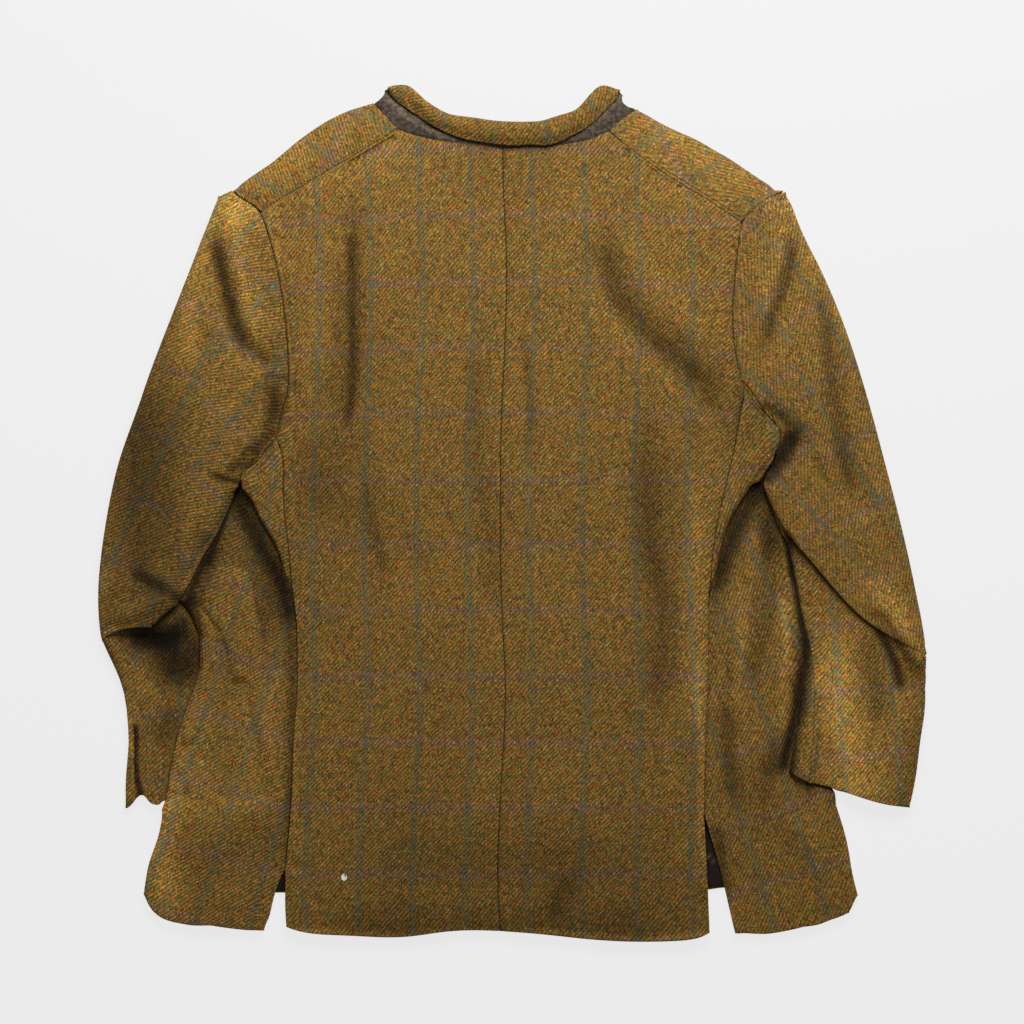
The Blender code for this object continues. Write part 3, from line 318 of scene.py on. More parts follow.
def random_of(tree, first, second, seed):
    """A random number for each pair of whole numbers."""
    joined = tree.nodes.new("ShaderNodeCombineXYZ")
    for socket, value in zip(joined.inputs, (first, second, seed)):
        if isinstance(value, (int, float)):
            socket.default_value = value
        else:
            tree.links.new(value, socket)
    node = tree.nodes.new("ShaderNodeTexWhiteNoise")
    node.noise_dimensions = "3D"
    tree.links.new(joined.outputs[0], node.inputs["Vector"])
    return node.outputs["Value"]


def with_painted_shade(tree, colour, times=1.0):
    """The colour with its painted shade and highlights, halved as often as the attribute says."""
    painted_shade = tree.nodes.new("ShaderNodeAttribute")
    painted_shade.attribute_name = "painted_shade"
    scaled = tree.nodes.new("ShaderNodeVectorMath")
    scaled.operation = "SCALE"
    tree.links.new(colour, scaled.inputs[0])
    left_over = sums(tree, "POWER", 0.5, painted_shade.outputs["Fac"])
    tree.links.new(sums(tree, "MULTIPLY", left_over, times), scaled.inputs[3])
    return scaled.outputs[0]


WARP_YARNS = (
    (0.24, (0.322, 0.177, 0.022)),
    (0.15, (0.312, 0.128, 0.020)),
    (0.05, (0.272, 0.084, 0.020)),
    (0.20, (0.200, 0.144, 0.024)),
    (0.14, (0.160, 0.086, 0.017)),
    (0.08, (0.084, 0.050, 0.013)),
    (0.10, (0.102, 0.122, 0.034)),
    (0.04, (0.365, 0.245, 0.085)),
)
WEFT_YARNS = (
    (0.20, (0.062, 0.036, 0.010)),
    (0.24, (0.112, 0.062, 0.014)),
    (0.22, (0.096, 0.082, 0.018)),
    (0.14, (0.220, 0.124, 0.020)),
    (0.09, (0.190, 0.054, 0.014)),
    (0.05, (0.074, 0.054, 0.078)),
    (0.06, (0.044, 0.090, 0.052)),
)
END_PITCH = 1.03 * MM  # one warp yarn
PICK_PITCH = 1.13 * MM  # one weft yarn
WARP_FLECKS = 330.0  # changes of shade in a metre of warp yarn
WEFT_FLECKS = 300.0
FLECK_SLIP = 9.0  # how far the changes are out of step from yarn to yarn
TEAL_LINE = (1.6 * MM, 1.2 * MM)  # its distance from the line of the check, and half its width
PURPLE_LINE = (2.4 * MM, 1.0 * MM)


def woven_tweed(name, shade=1.0):
    """A 2/2 twill of mottled yarns, with the teal and purple lines of the overcheck."""
    made = bpy.data.materials.new(name)
    made.use_nodes = True
    tree = made.node_tree
    shader = tree.nodes["Principled BSDF"]
    place = tree.nodes.new("ShaderNodeUVMap")
    place.uv_map = "cloth"
    wander = tree.nodes.new("ShaderNodeTexNoise")
    wander.inputs["Scale"].default_value = 45.0
    wander.inputs["Detail"].default_value = 5.0
    wander.inputs["Roughness"].default_value = 0.62
    tree.links.new(place.outputs[0], wander.inputs["Vector"])
    pulled = tree.nodes.new("ShaderNodeVectorMath")
    pulled.operation = "MULTIPLY_ADD"
    tree.links.new(wander.outputs["Color"], pulled.inputs[0])
    pulled.inputs[1].default_value = (0.0036, 0.0036, 0.0)
    tree.links.new(place.outputs[0], pulled.inputs[2])
    cloth = pulled.outputs[0]
    apart = tree.nodes.new("ShaderNodeSeparateXYZ")
    tree.links.new(cloth, apart.inputs[0])
    across, along = apart.outputs[0], apart.outputs[1]
    end_at = sums(tree, "DIVIDE", across, END_PITCH)
    pick_at = sums(tree, "DIVIDE", along, PICK_PITCH)
    end = sums(tree, "FLOOR", end_at)
    pick = sums(tree, "FLOOR", pick_at)

    # which yarn is on top, and how high it stands there
    turn = sums(tree, "SUBTRACT", end, pick)
    warp_on_top = sums(tree, "LESS_THAN", sums(tree, "FLOORED_MODULO", turn, 4.0), 1.5)
    warp_turn = sums(tree, "SUBTRACT", end, pick_at)
    weft_turn = sums(tree, "SUBTRACT", pick, end_at)
    warp_wave = sums(tree, "SINE", sums(tree, "MULTIPLY", warp_turn, 0.5 * math.pi))
    weft_wave = sums(tree, "SINE", sums(tree, "MULTIPLY", weft_turn, 0.5 * math.pi))
    warp_round = sums(tree, "SINE", sums(tree, "MULTIPLY", sums(tree, "FRACT", end_at), math.pi))
    weft_round = sums(tree, "SINE", sums(tree, "MULTIPLY", sums(tree, "FRACT", pick_at), math.pi))
    warp_up = sums(tree, "MAXIMUM", warp_wave, 0.0)
    weft_up = sums(tree, "MAXIMUM", weft_wave, 0.0)
    warp_height = sums(tree, "MULTIPLY", warp_up, sums(tree, "POWER", warp_round, 0.5))
    weft_height = sums(tree, "MULTIPLY", weft_up, sums(tree, "POWER", weft_round, 0.5))
    height = sums(tree, "MAXIMUM", warp_height, sums(tree, "MULTIPLY", weft_height, 0.8))

    # each yarn changes shade every few millimetres
    end_slip = sums(tree, "MULTIPLY", random_of(tree, end, 0.0, 3.0), FLECK_SLIP)
    pick_slip = sums(tree, "MULTIPLY", random_of(tree, pick, 0.0, 5.0), FLECK_SLIP)
    warp_run = sums(tree, "MULTIPLY_ADD", along, WARP_FLECKS, end_slip)
    weft_run = sums(tree, "MULTIPLY_ADD", across, WEFT_FLECKS, pick_slip)
    warp_fleck = sums(tree, "FLOOR", warp_run)
    weft_fleck = sums(tree, "FLOOR", weft_run)
    warp = chosen(tree, random_of(tree, end, warp_fleck, 11.0), WARP_YARNS)
    weft = chosen(tree, random_of(tree, weft_fleck, pick, 17.0), WEFT_YARNS)

    # teal ends and purple picks of the overcheck, broken up by the other yarns
    line_u = sums(tree, "ABSOLUTE", sums(tree, "PINGPONG", across, 0.5 * CHECK_ACROSS * MM))
    line_v = sums(tree, "ABSOLUTE", sums(tree, "PINGPONG", along, 0.5 * CHECK_ALONG * MM))
    from_teal = sums(tree, "ABSOLUTE", sums(tree, "SUBTRACT", line_u, TEAL_LINE[0]))
    from_purple = sums(tree, "ABSOLUTE", sums(tree, "SUBTRACT", line_v, PURPLE_LINE[0]))
    teal_here = sums(tree, "LESS_THAN", from_teal, TEAL_LINE[1])
    purple_here = sums(tree, "LESS_THAN", from_purple, PURPLE_LINE[1])
    teal_yarn = chosen(
        tree,
        random_of(tree, end, warp_fleck, 23.0),
        (
            (0.55, (0.060, 0.115, 0.082)),
            (0.2, (0.090, 0.120, 0.060)),
            (0.25, (0.200, 0.140, 0.040)),
        ),
    )
    purple_yarn = chosen(
        tree,
        random_of(tree, weft_fleck, pick, 29.0),
        (
            (0.5, (0.085, 0.060, 0.125)),
            (0.25, (0.060, 0.050, 0.100)),
            (0.25, (0.130, 0.070, 0.070)),
        ),
    )
    warp = blended(tree, sums(tree, "MULTIPLY", teal_here, 0.75), warp, teal_yarn)
    weft = blended(tree, sums(tree, "MULTIPLY", purple_here, 0.75), weft, purple_yarn)
    yarn = blended(tree, sums(tree, "MULTIPLY_ADD", warp_on_top, 0.88, 0.06), weft, warp)

    # mottling of the wool, warm and cool clouds in the dye, and painted shade between the yarns
    mottle = noise(tree, cloth, 150.0, 4.0, 0.65)
    patch = noise(tree, cloth, 9.0, 2.0)
    fibre = noise(tree, cloth, 1500.0, 2.0, 0.7)
    warmth = noise(tree, cloth, 210.0, 3.0, 0.65)
    light = sums(tree, "MULTIPLY_ADD", height, 0.26, 0.705)
    light = sums(tree, "MULTIPLY", light, sums(tree, "MULTIPLY_ADD", mottle, 1.0, 0.52))
    light = sums(tree, "MULTIPLY", light, sums(tree, "MULTIPLY_ADD", patch, 0.36, 0.84))
    light = sums(tree, "MULTIPLY", light, sums(tree, "MULTIPLY_ADD", fibre, 0.6, 0.7))
    # painted shade in the seam grooves and where pieces touch, as near_seam records it
    near_seam = tree.nodes.new("ShaderNodeAttribute")
    near_seam.attribute_name = "near_seam"
    painted_seam_shade = sums(tree, "SUBTRACT", near_seam.outputs["Fac"], 0.84)
    painted_seam_shade = sums(tree, "MULTIPLY", painted_seam_shade, 9.0)
    painted_seam_shade = sums(tree, "MINIMUM", sums(tree, "MAXIMUM", painted_seam_shade, 0.0), 1.0)
    light = sums(tree, "MULTIPLY", light, sums(tree, "MULTIPLY_ADD", painted_seam_shade, -0.72, 1.0))
    light = sums(tree, "MULTIPLY", light, shade)
    warm_share = sums(tree, "MULTIPLY_ADD", warmth, 3.0, -1.0)
    dyed = blended(tree, warm_share, (1.20, 0.90, 0.84), (0.86, 1.04, 1.06))
    yarn = blended(tree, 1.0, yarn, dyed, "MULTIPLY")

    # a speck of white lint caught on the left half of the back, near the hem
    body = tree.nodes.new("ShaderNodeSeparateXYZ")
    tree.links.new(tree.nodes.new("ShaderNodeTexCoord").outputs["Object"], body.inputs[0])
    speck = {}
    for part, at_x, at_y, wide, long in (
        ("whole", -161.2, -351.3, 2.7, 3.3),
        ("hole", -160.3, -349.6, 1.1, 1.9),
    ):
        away_x = sums(tree, "MULTIPLY_ADD", body.outputs[0], 1000 / wide, -at_x / wide)
        away_y = sums(tree, "MULTIPLY_ADD", body.outputs[1], 1000 / long, -at_y / long)
        squared_x = sums(tree, "MULTIPLY", away_x, away_x)
        squared_y = sums(tree, "MULTIPLY", away_y, away_y)
        speck[part] = sums(tree, "LESS_THAN", sums(tree, "ADD", squared_x, squared_y), 1.0)
    open_middle = sums(tree, "MULTIPLY_ADD", speck["hole"], -0.8, 1.0)
    lint = sums(tree, "MULTIPLY", speck["whole"], open_middle)
    yarn = blended(tree, lint, yarn, (0.95, 0.92, 0.86))
    tree.links.new(with_painted_shade(tree, yarn, light), shader.inputs["Base Color"])

    bump = tree.nodes.new("ShaderNodeBump")
    bump.inputs["Strength"].default_value = 0.7
    bump.inputs["Distance"].default_value = 0.0006
    raised = sums(tree, "MULTIPLY_ADD", mottle, 1.2, sums(tree, "MULTIPLY", height, 0.5))
    hairy = sums(tree, "MULTIPLY_ADD", fibre, 0.7, raised)
    tree.links.new(hairy, bump.inputs["Height"])
    tree.links.new(bump.outputs[0], shader.inputs["Normal"])
    shader.inputs["Roughness"].default_value = 0.92
    shader.inputs["Specular IOR Level"].default_value = 0.10
    shader.inputs["Sheen Weight"].default_value = 0.06
    shader.inputs["Sheen Roughness"].default_value = 0.45
    shader.inputs["Sheen Tint"].default_value = (0.75, 0.62, 0.40, 1.0)
    return made


TWEED = woven_tweed("tweed")
LEVELS = 3


def dress(piece, node, finish):
    """Gives a finished piece its cloth and lets it stand for its solid."""
    piece.data.materials.clear()
    piece.data.materials.append(finish)
    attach(piece, "root")
    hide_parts(node)
    return piece


back = {}
for hand in ("left", "right"):
    piece = rounded_cloth("back_" + hand, LEVELS)
    points = points_of(piece)
    lay_pattern(piece, *back_pattern(points))
    points = let_out(creased(points, BACK_CREASES))
    set_points(piece, points)
    paint_shade_and_highlights(piece, points, BACK_PAINTED_SHADE_AND_HIGHLIGHTS)
    back[hand] = dress(piece, "back_" + hand, TWEED)

# ---------------------------------------------------------------- the side panels
# A narrow panel runs under each arm from the armhole to the hem. Its back edge is sewn to the
# back down to the waist and hangs free below as the side vent. Laid flat, it rolls over its
# own seam, tucks under the back and spreads out, so its weave lies at a slant.

SIDE_CREASES = {
    "left": (
        (6.0, 9, ((-273, 40), (-256, -10), (-234, -62), (-222, -120), (-219, -200), (-219, -330),
                  (-219, -400))),
        (-2.4, 11, ((-262, -50), (-258, -110), (-266, -180))),
        (-2.0, 12, ((-292, -90), (-306, -150), (-318, -230))),
        (2.4, 14, ((-248, -130), (-252, -200), (-262, -270))),
        (2.2, 14, ((-240, -290), (-256, -330), (-278, -366))),
        (-1.8, 14, ((-298, -240), (-306, -290), (-314, -346))),
    ),
    "right": (
        (6.0, 8, ((246, 44), (228, 6), (216, -23), (206, -71), (200, -130), (203, -200),
                  (204, -300), (206, -380))),
        (-3.0, 10, ((234, -20), (228, -70), (220, -123), (206, -168))),
        (3.4, 11, ((253, 4), (252, -66), (244, -123), (225, -181), (210, -238))),
        (-3.4, 11, ((272, -60), (274, -110), (266, -180))),
        (-2.4, 11, ((236, -206), (240, -240), (242, -276))),
        (2.4, 14, ((226, -270), (240, -300), (262, -346))),
        (-2.0, 13, ((268, -280), (284, -320), (302, -360))),
    ),
}
# painted shade under the sleeves, along the rolls and in the vents, and painted highlights where
# below zero
SIDE_PAINTED_SHADE_AND_HIGHLIGHTS = {
    "left": (
        (2.6, 8, ((-267, 36), (-262, 14), (-253, -11), (-241, -33), (-228, -55), (-217, -78),
                  (-212, -112)), 15),
        (0.5, 10, ((-236, -40), (-226, -62), (-221, -92)), 15),
        (2.2, 3.2, ((-222, 86), (-229, 68), (-240, 55), (-249, 48), (-261, 40), (-270, 31))),
        (2.4, 4, ((-280, 36), (-270, 28), (-262, 18))),
        (1.2, 7, ((-309, -80), (-306, -96), (-303, -110), (-300, -126))),
        (0.6, 9, ((-260, 14), (-272, -20), (-286, -56), (-296, -90))),
        (-0.5, 10, ((-392, -300), (-396, -350), (-384, -386))),
        (0.9, 16, ((-262, -6), (-252, -40), (-238, -80), (-232, -130)), 15),
        (0.9, 5, ((-212, -110), (-212, -180), (-214, -260), (-216, -340))),
        (3.0, 5, ((-267, 36), (-271, 12), (-278, -12), (-285, -34), (-292, -56)), 18),
        (1.2, 9, ((-284, -20), (-298, -50), (-306, -80), (-310, -110))),
        (2.0, 5, ((-292, -40), (-300, -60), (-308, -78), (-312, -98))),
        (-1.1, 24, ((-336, -250), (-340, -330), (-326, -400))),
        (-0.45, 30, ((-322, -150), (-314, -240), (-280, -330))),
        (-0.3, 22, ((-244, -150), (-248, -240), (-256, -330))),
    ),
    "right": (
        (2.4, 9, ((240, 40), (232, 16), (223, -3), (213, -23), (205, -42), (200, -62), (197, -80)),
         15.5),
        (1.8, 10, ((238, 34), (244, 4), (246, -24), (248, -50)), 15.5),
        (0.5, 14, ((244, 120), (234, 90), (222, 60))),
        (2.4, 5, ((242, 26), (252, 4), (262, -22), (267, -48), (269, -70))),
        (-0.5, 8, ((214, -60), (220, -100), (220, -150), (214, -190))),
        (3.0, 4.5, ((268, -32), (271, -60), (276, -104), (280, -133), (277, -162), (273, -191),
                    (267, -219), (259, -250))),
        (1.2, 10, ((262, -206), (254, -230), (242, -260))),
        (0.9, 8, ((206, -180), (208, -230), (214, -280))),
        (0.5, 9, ((248, -20), (250, -66), (242, -123), (226, -170))),
        (-0.7, 6, ((258, -80), (264, -124), (264, -165), (260, -200), (252, -236))),
        (1.2, 6, ((196, -300), (202, -340), (206, -372))),
    ),
}
# how far the weave is turned: height up the coat, degrees
SIDE_TURN = {
    "left": ((-400, -17), (-150, -17), (-60, -22), (10, -8), (80, 0)),
    "right": ((-400, 17), (-200, 18), (-100, 24), (-20, 26), (60, 8), (120, 0)),
}
# where two lines of the check cross: x, y, and how far the teal line is off
SIDE_CHECK = {"left": (-212, -153, -16), "right": (230, -360, 12)}


def turned_pattern(points, middle, turns, crossing):
    """The pattern where the weave turns gradually along the piece, about a line at x = middle."""
    x, y = points[:, 0], points[:, 1]
    at = np.linspace(-430, 430, 861)
    angle = np.radians(np.interp(at, *np.array(turns, float).T))
    start = np.argmin(np.abs(at - crossing[1]))
    drift = np.concatenate([[0], np.cumsum(np.sin(angle))[:-1]])
    rise = np.concatenate([[0], np.cumsum(np.cos(angle))[:-1]])
    drift -= drift[start]
    rise -= rise[start]
    here = np.interp(y, at, angle)
    across = np.cos(here) * (x - middle) + np.interp(y, at, drift)
    along = -np.sin(here) * (x - middle) + np.interp(y, at, rise)
    start_angle = angle[start]
    across -= np.cos(start_angle) * (crossing[0] - middle) + crossing[2]
    along += np.sin(start_angle) * (crossing[0] - middle)
    return across, along


# where the rolled outer side reaches in under the sleeve: y, x of the roll, how much farther
SIDE_SPREAD = {
    "left": (
        (52, -262, 0), (30, -262, -7), (-20, -280, -8), (-60, -298, -8), (-86, -304, -7),
        (-98, -304, 0), (-116, -302, 4), (-150, -302, 4), (-190, -302, 0),
    ),
    "right": (
        (96, 250, 0), (66, 252, 2), (42, 252, 4), (20, 252, 8), (-30, 264, 6),
        (-64, 270, 3), (-110, 276, 4), (-150, 280, 4), (-180, 282, 0),
    ),
}


def spread_under(points, rows):
    """Moves the outer part of a side panel outward, each height by its own amount."""
    rows = np.array(rows, float)[::-1]
    roll = np.interp(points[:, 1], rows[:, 0], rows[:, 1])
    amount = np.interp(points[:, 1], rows[:, 0], rows[:, 2])
    outward = np.sign(roll) * (points[:, 0] - roll)
    moved = points.copy()
    moved[:, 0] += amount * soft_step(1 + outward / 24)
    return moved


sides = {}
for hand in ("left", "right"):
    piece = rounded_cloth("side_" + hand, LEVELS)
    points = points_of(piece)
    middle = -230 if hand == "left" else 215
    lay_pattern(piece, *turned_pattern(points, middle, SIDE_TURN[hand], SIDE_CHECK[hand]))
    points = creased(points, SIDE_CREASES[hand], soft_step((points[:, 2] - 3) / 4))
    points = let_out(spread_under(points, SIDE_SPREAD[hand]))
    set_points(piece, points)
    paint_shade_and_highlights(piece, points, SIDE_PAINTED_SHADE_AND_HIGHLIGHTS[hand])
    sides[hand] = dress(piece, "side_" + hand, TWEED)

# ---------------------------------------------------------------- the fronts
# Both fronts lie face down on the surface. Each comes up over its shoulder as a strip and is
# sewn to the back there, so on that strip the weave runs slantwise, mirrored by the fold.

# a point of the fold along the shoulder, and the fold's slope in degrees
FRONT_FOLD = {"left": (-134, 390, 31.0), "right": (120, 384, -30.0)}
# painted highlights on the shoulder strips of the fronts
FRONT_PAINTED_HIGHLIGHTS = (
    (-0.35, 26, ((-310, 300), (-240, 336), (-180, 356))),
    (-0.2, 24, ((110, 390), (200, 346), (270, 310))),
)

fronts = {}
for hand in ("left", "right"):
    piece = rounded_cloth("front_" + hand, 2)
    points = points_of(piece)
    fold_x, fold_y, slope = FRONT_FOLD[hand]
    slope = math.radians(slope)
    x, y = points[:, 0] - fold_x, points[:, 1] - fold_y
    from_fold = -x * math.sin(slope) + y * math.cos(slope)
    along_fold = x * math.cos(slope) + y * math.sin(slope)
    on_top = soft_step((points[:, 2] - 14) / 3) * soft_step((points[:, 1] - 262) / 10)
    out = np.where(on_top > 0.5, -from_fold, from_fold)
    flat_x = fold_x + along_fold * math.cos(slope) - out * math.sin(slope)
    flat_y = fold_y + along_fold * math.sin(slope) + out * math.cos(slope)
    lay_pattern(piece, -flat_x, flat_y)
    paint_shade_and_highlights(piece, points, FRONT_PAINTED_HIGHLIGHTS)
    set_points(piece, let_out(points))
    fronts[hand] = dress(piece, "front_" + hand, TWEED)

# ---------------------------------------------------------------- the sleeves
# Each sleeve is two panels, an under sleeve that faces up here and a top sleeve that wraps
# round beneath it. They meet in the hind seam down the elbow side. The arm folds over at the
# elbow, and creases run from the armhole and into the crook.

SLEEVE_CREASES = {
    "left": (
        (6.0, 8, ((-288, 264), (-283, 232), (-277, 203), (-264, 170), (-248, 148), (-234, 134))),
        (-3.0, 11, ((-292, 280), (-296, 240), (-294, 203), (-290, 160))),
        (-2.0, 8, ((-250, 250), (-242, 206), (-228, 166))),
        (5.5, 16, ((-308, 158), (-320, 118), (-330, 70), (-337, 20), (-338, -28), (-328, -76))),
        (2.6, 8, ((-296, -20), (-302, -52), (-310, -74))),
        (-2.6, 15, ((-296, 130), (-300, 60), (-308, 0), (-312, -40))),
        (-2.6, 8, ((-232, 96), (-244, 74), (-262, 58))),
        (1.4, 2.6, ((-361.6, -204), (-361, -223), (-361.6, -239), (-360, -258), (-357.5, -268),
                    (-355, -280))),
        (1.8, 4.5, ((-232, 152), (-250, 126), (-278, 98))),
        (-1.0, 4, ((-236, 144), (-256, 116), (-270, 104))),
        (1.4, 3, ((-236, 150), (-227, 153), (-218, 156))),
        (1.4, 3, ((-236, 131), (-226, 126), (-216, 120))),
        (-3.6, 8, ((-386, -104), (-362, -97), (-338, -87), (-318, -76))),
        (3.4, 6, ((-368, -58), (-352, -64), (-339, -71), (-326, -79), (-314, -90))),
        (8.0, 16, ((-368, -126), (-346, -134), (-326, -142), (-308, -136))),
        (3.8, 12, ((-340, -152), (-324, -170), (-314, -188))),
        (3.0, 8, ((-328, -180), (-334, -204), (-344, -228))),
        (-1.8, 8, ((-356, -160), (-362, -190), (-364, -222))),
        (2.0, 8, ((-336, -238), (-332, -262), (-326, -286))),
    ),
    "right": (
        (6.0, 8, ((271, 268), (269, 236), (262, 212), (254, 190), (246, 160), (240, 134))),
        (-3.0, 9, ((288, 250), (292, 203), (290, 150), (292, 90), (300, 30))),
        (-1.8, 8, ((244, 256), (240, 210), (234, 170))),
        (6.5, 8, ((297, 204), (307, 165), (313, 126), (317, 78), (330, 30), (342, -10))),
        (-2.2, 10, ((340, 100), (350, 40), (362, -20))),
        (2.2, 6, ((284, 60), (298, 30), (314, 6))),
        (1.8, 8, ((336, 150), (346, 90), (356, 30))),
        (9.0, 7, ((346, -96), (361, -122), (370, -146), (377, -176))),
        (-3.0, 7, ((372, -128), (386, -140), (396, -150))),
        (-2.4, 7, ((372, -108), (384, -132), (390, -160))),
        (-4.6, 20, ((314, -104), (318, -181), (332, -256))),
        (3.0, 11, ((348, -120), (352, -170), (354, -216))),
        (3.6, 6, ((256, 100), (268, 80), (262, 60))),
    ),
}
# painted shade in the creases, under the elbow fold and at the armholes, and painted highlights
# where below zero
SLEEVE_PAINTED_SHADE_AND_HIGHLIGHTS = {
    "left": (
        (1.5, 7, ((-286, 262), (-279, 234), (-273, 212), (-266, 180), (-252, 150))),
        (0.8, 9, ((-238, 128), (-228, 108), (-228, 84))),
        (0.7, 2.5, ((-243, 150), (-236, 145), (-229, 148), (-222, 145))),
        (0.8, 2.5, ((-240, 132), (-231, 129), (-220, 130), (-214, 128))),
        (1.2, 22, ((-340, 130), (-356, 88), (-360, 11), (-352, -50), (-338, -84))),
        (0.5, 16, ((-330, 110), (-336, 40), (-332, -30))),
        (1.2, 5, ((-226, 126), (-228, 98), (-238, 70), (-256, 50), (-276, 38))),
        (2.4, 3.2, ((-288, 36), (-278, 33), (-268, 29), (-260, 26))),
        (-0.6, 6, ((-390, -50), (-397, -86), (-397, -124))),
        (0.7, 7, ((-360, -72), (-342, -80), (-328, -90), (-318, -102))),
        (-1.1, 5, ((-402, -122), (-388, -117), (-372, -113))),
        (2.2, 5, ((-366, -60), (-352, -65), (-339, -72), (-326, -80), (-312, -92))),
        (0.4, 14, ((-400, -90), (-366, -84), (-336, -92))),
        (3.0, 10, ((-370, -126), (-356, -124), (-340, -121), (-324, -116), (-308, -106)), 12),
        (1.8, 12, ((-352, -120), (-334, -124), (-316, -126)), 12),
        (1.9, 17, ((-350, -136), (-328, -140), (-308, -136), (-294, -130)), 12),
        (1.6, 14, ((-338, -148), (-320, -156), (-304, -156))),
        (0.8, 9, ((-326, -186), (-332, -206), (-342, -226))),
        (-0.8, 11, ((-294, 300), (-303, 240), (-308, 190), (-310, 130))),
        (-0.8, 11, ((-270, 300), (-262, 250), (-250, 200), (-238, 160))),
        (-0.4, 10, ((-378, -150), (-372, -190), (-366, -240))),
        (-0.75, 22, ((-310, 296), (-262, 290), (-214, 286))),
        (-0.5, 8, ((-368, -180), (-372, -230), (-374, -290))),
        (3.0, 2.2, ((-361.6, -204), (-361, -223), (-361.6, -239), (-360, -258), (-357.5, -268),
                    (-355, -280))),
    ),
    "right": (
        (1.0, 6, ((270, 262), (267, 236), (259, 208), (250, 184), (244, 160))),
        (0.7, 8, ((302, 196), (306, 140), (314, 84), (326, 16))),
        (0.5, 7, ((308, 70), (316, 50), (328, 14))),
        (1.6, 2.6, ((240, 106), (250, 100), (262, 89), (269, 80))),
        (3.6, 7, ((278, 82), (271, 74), (265, 64), (259, 53), (251, 41), (240, 30))),
        (2.0, 4, ((254, 50), (246, 40), (239, 31), (232, 20))),
        (2.6, 4.5, ((348, -110), (356, -121), (363, -133), (370, -150), (374, -172))),
        (0.4, 5, ((356, -118), (366, -124), (380, -130), (392, -136))),
        (-0.6, 6, ((378, -125), (388, -130), (398, -136))),
        (1.4, 6, ((284, -116), (283, -143), (280, -175), (275, -205))),
        (3.0, 5, ((264, -20), (268, -60), (274, -98), (280, -124), (279, -143), (275, -181),
                  (270, -219), (266, -258))),
        (0.5, 10, ((340, -120), (346, -160), (352, -210))),
        (-1.2, 28, ((304, -110), (316, -200), (340, -310))),
        (-0.3, 16, ((372, -170), (368, -220), (362, -290))),
        (-0.9, 14, ((340, -60), (368, -96), (392, -122))),
        (-0.5, 9, ((262, 284), (252, 240), (240, 190))),
        (-0.5, 14, ((240, 302), (272, 292), (288, 250))),
        (-0.4, 10, ((284, 280), (304, 220), (322, 160))),
    ),
}
ELBOW_FOLD = {
    "left": (
        (-394, -121), (-379, -114), (-364, -110), (-348, -112), (-335, -99), (-325, -91),
        (-315, -79),
    ),
    "right": (
        (240, 31), (256, -9), (271, -30), (288, -47), (306, -70), (329, -96), (352, -114),
        (377, -126), (396, -136),
    ),
}
# how far the weave is turned above and below the elbow, degrees
SLEEVE_TURN = {
    ("under_sleeve", "left"): (-38, 2),
    ("top_sleeve", "left"): (-24, 2),
    ("under_sleeve", "right"): (44, 4),
    ("top_sleeve", "right"): (32, 4),
}
SLEEVE_CHECK = {  # where a teal and a purple line cross on the upper arm
    ("under_sleeve", "left"): (-267, 166),
    ("top_sleeve", "left"): (-353, 12),
    ("under_sleeve", "right"): (237, 197),
    ("top_sleeve", "right"): (319, 65),
}


def sleeve_pattern(points, kind, hand):
    """The weave keeps one slant down the upper arm and nearly hangs straight on the forearm."""
    x, y = points[:, 0], points[:, 1]
    fold_x, fold_y = np.array(ELBOW_FOLD[hand], float).T
    outer = fold_x[0] if hand == "left" else fold_x[-1]
    inner = fold_x[-1] if hand == "left" else fold_x[0]
    above = y - np.interp(x, fold_x, fold_y)
    openness = np.clip((x - inner) / (outer - inner), 0, 1)
    half_width = 4 + 26 * soft_step((openness - 0.6) / 0.4)
    forearm = soft_step(0.5 - 0.5 * (above + 3) / half_width)
    upper, lower = (math.radians(v) for v in SLEEVE_TURN[kind, hand])
    angle = upper + (lower - upper) * forearm
    pivot_x, pivot_y = outer, fold_y[0] if hand == "left" else fold_y[-1]
    across = np.cos(angle) * (x - pivot_x) + np.sin(angle) * (y - pivot_y)
    along = -np.sin(angle) * (x - pivot_x) + np.cos(angle) * (y - pivot_y)
    cross_x, cross_y = SLEEVE_CHECK[kind, hand]
    across -= math.cos(upper) * (cross_x - pivot_x) + math.sin(upper) * (cross_y - pivot_y)
    along -= -math.sin(upper) * (cross_x - pivot_x) + math.cos(upper) * (cross_y - pivot_y)
    return across, along


sleeves = {}
for hand in ("left", "right"):
    for kind in ("under_sleeve", "top_sleeve"):
        node = kind + "_" + hand
        piece = rounded_cloth(node, LEVELS)
        points = points_of(piece)
        lay_pattern(piece, *sleeve_pattern(points, kind, hand))
        upper_layer = soft_step((points[:, 2] - 7.0) / 5.0)
        if hand == "left":
            forearm_layer = soft_step((points[:, 2] - 3.5) / 2) * (points[:, 1] < -118)
            upper_layer = np.maximum(upper_layer, forearm_layer)
        points = let_out(creased(points, SLEEVE_CREASES[hand], upper_layer))
        set_points(piece, points)
        paint_shade_and_highlights(piece, points, SLEEVE_PAINTED_SHADE_AND_HIGHLIGHTS[hand])
        sleeves[kind, hand] = dress(piece, node, TWEED)

# ---------------------------------------------------------------- the collar
# The collar is a strip of the tweed over a felt undercollar. It rises from the neck seam,
# folds over along its top and shows as a narrow band, with the felt below it.


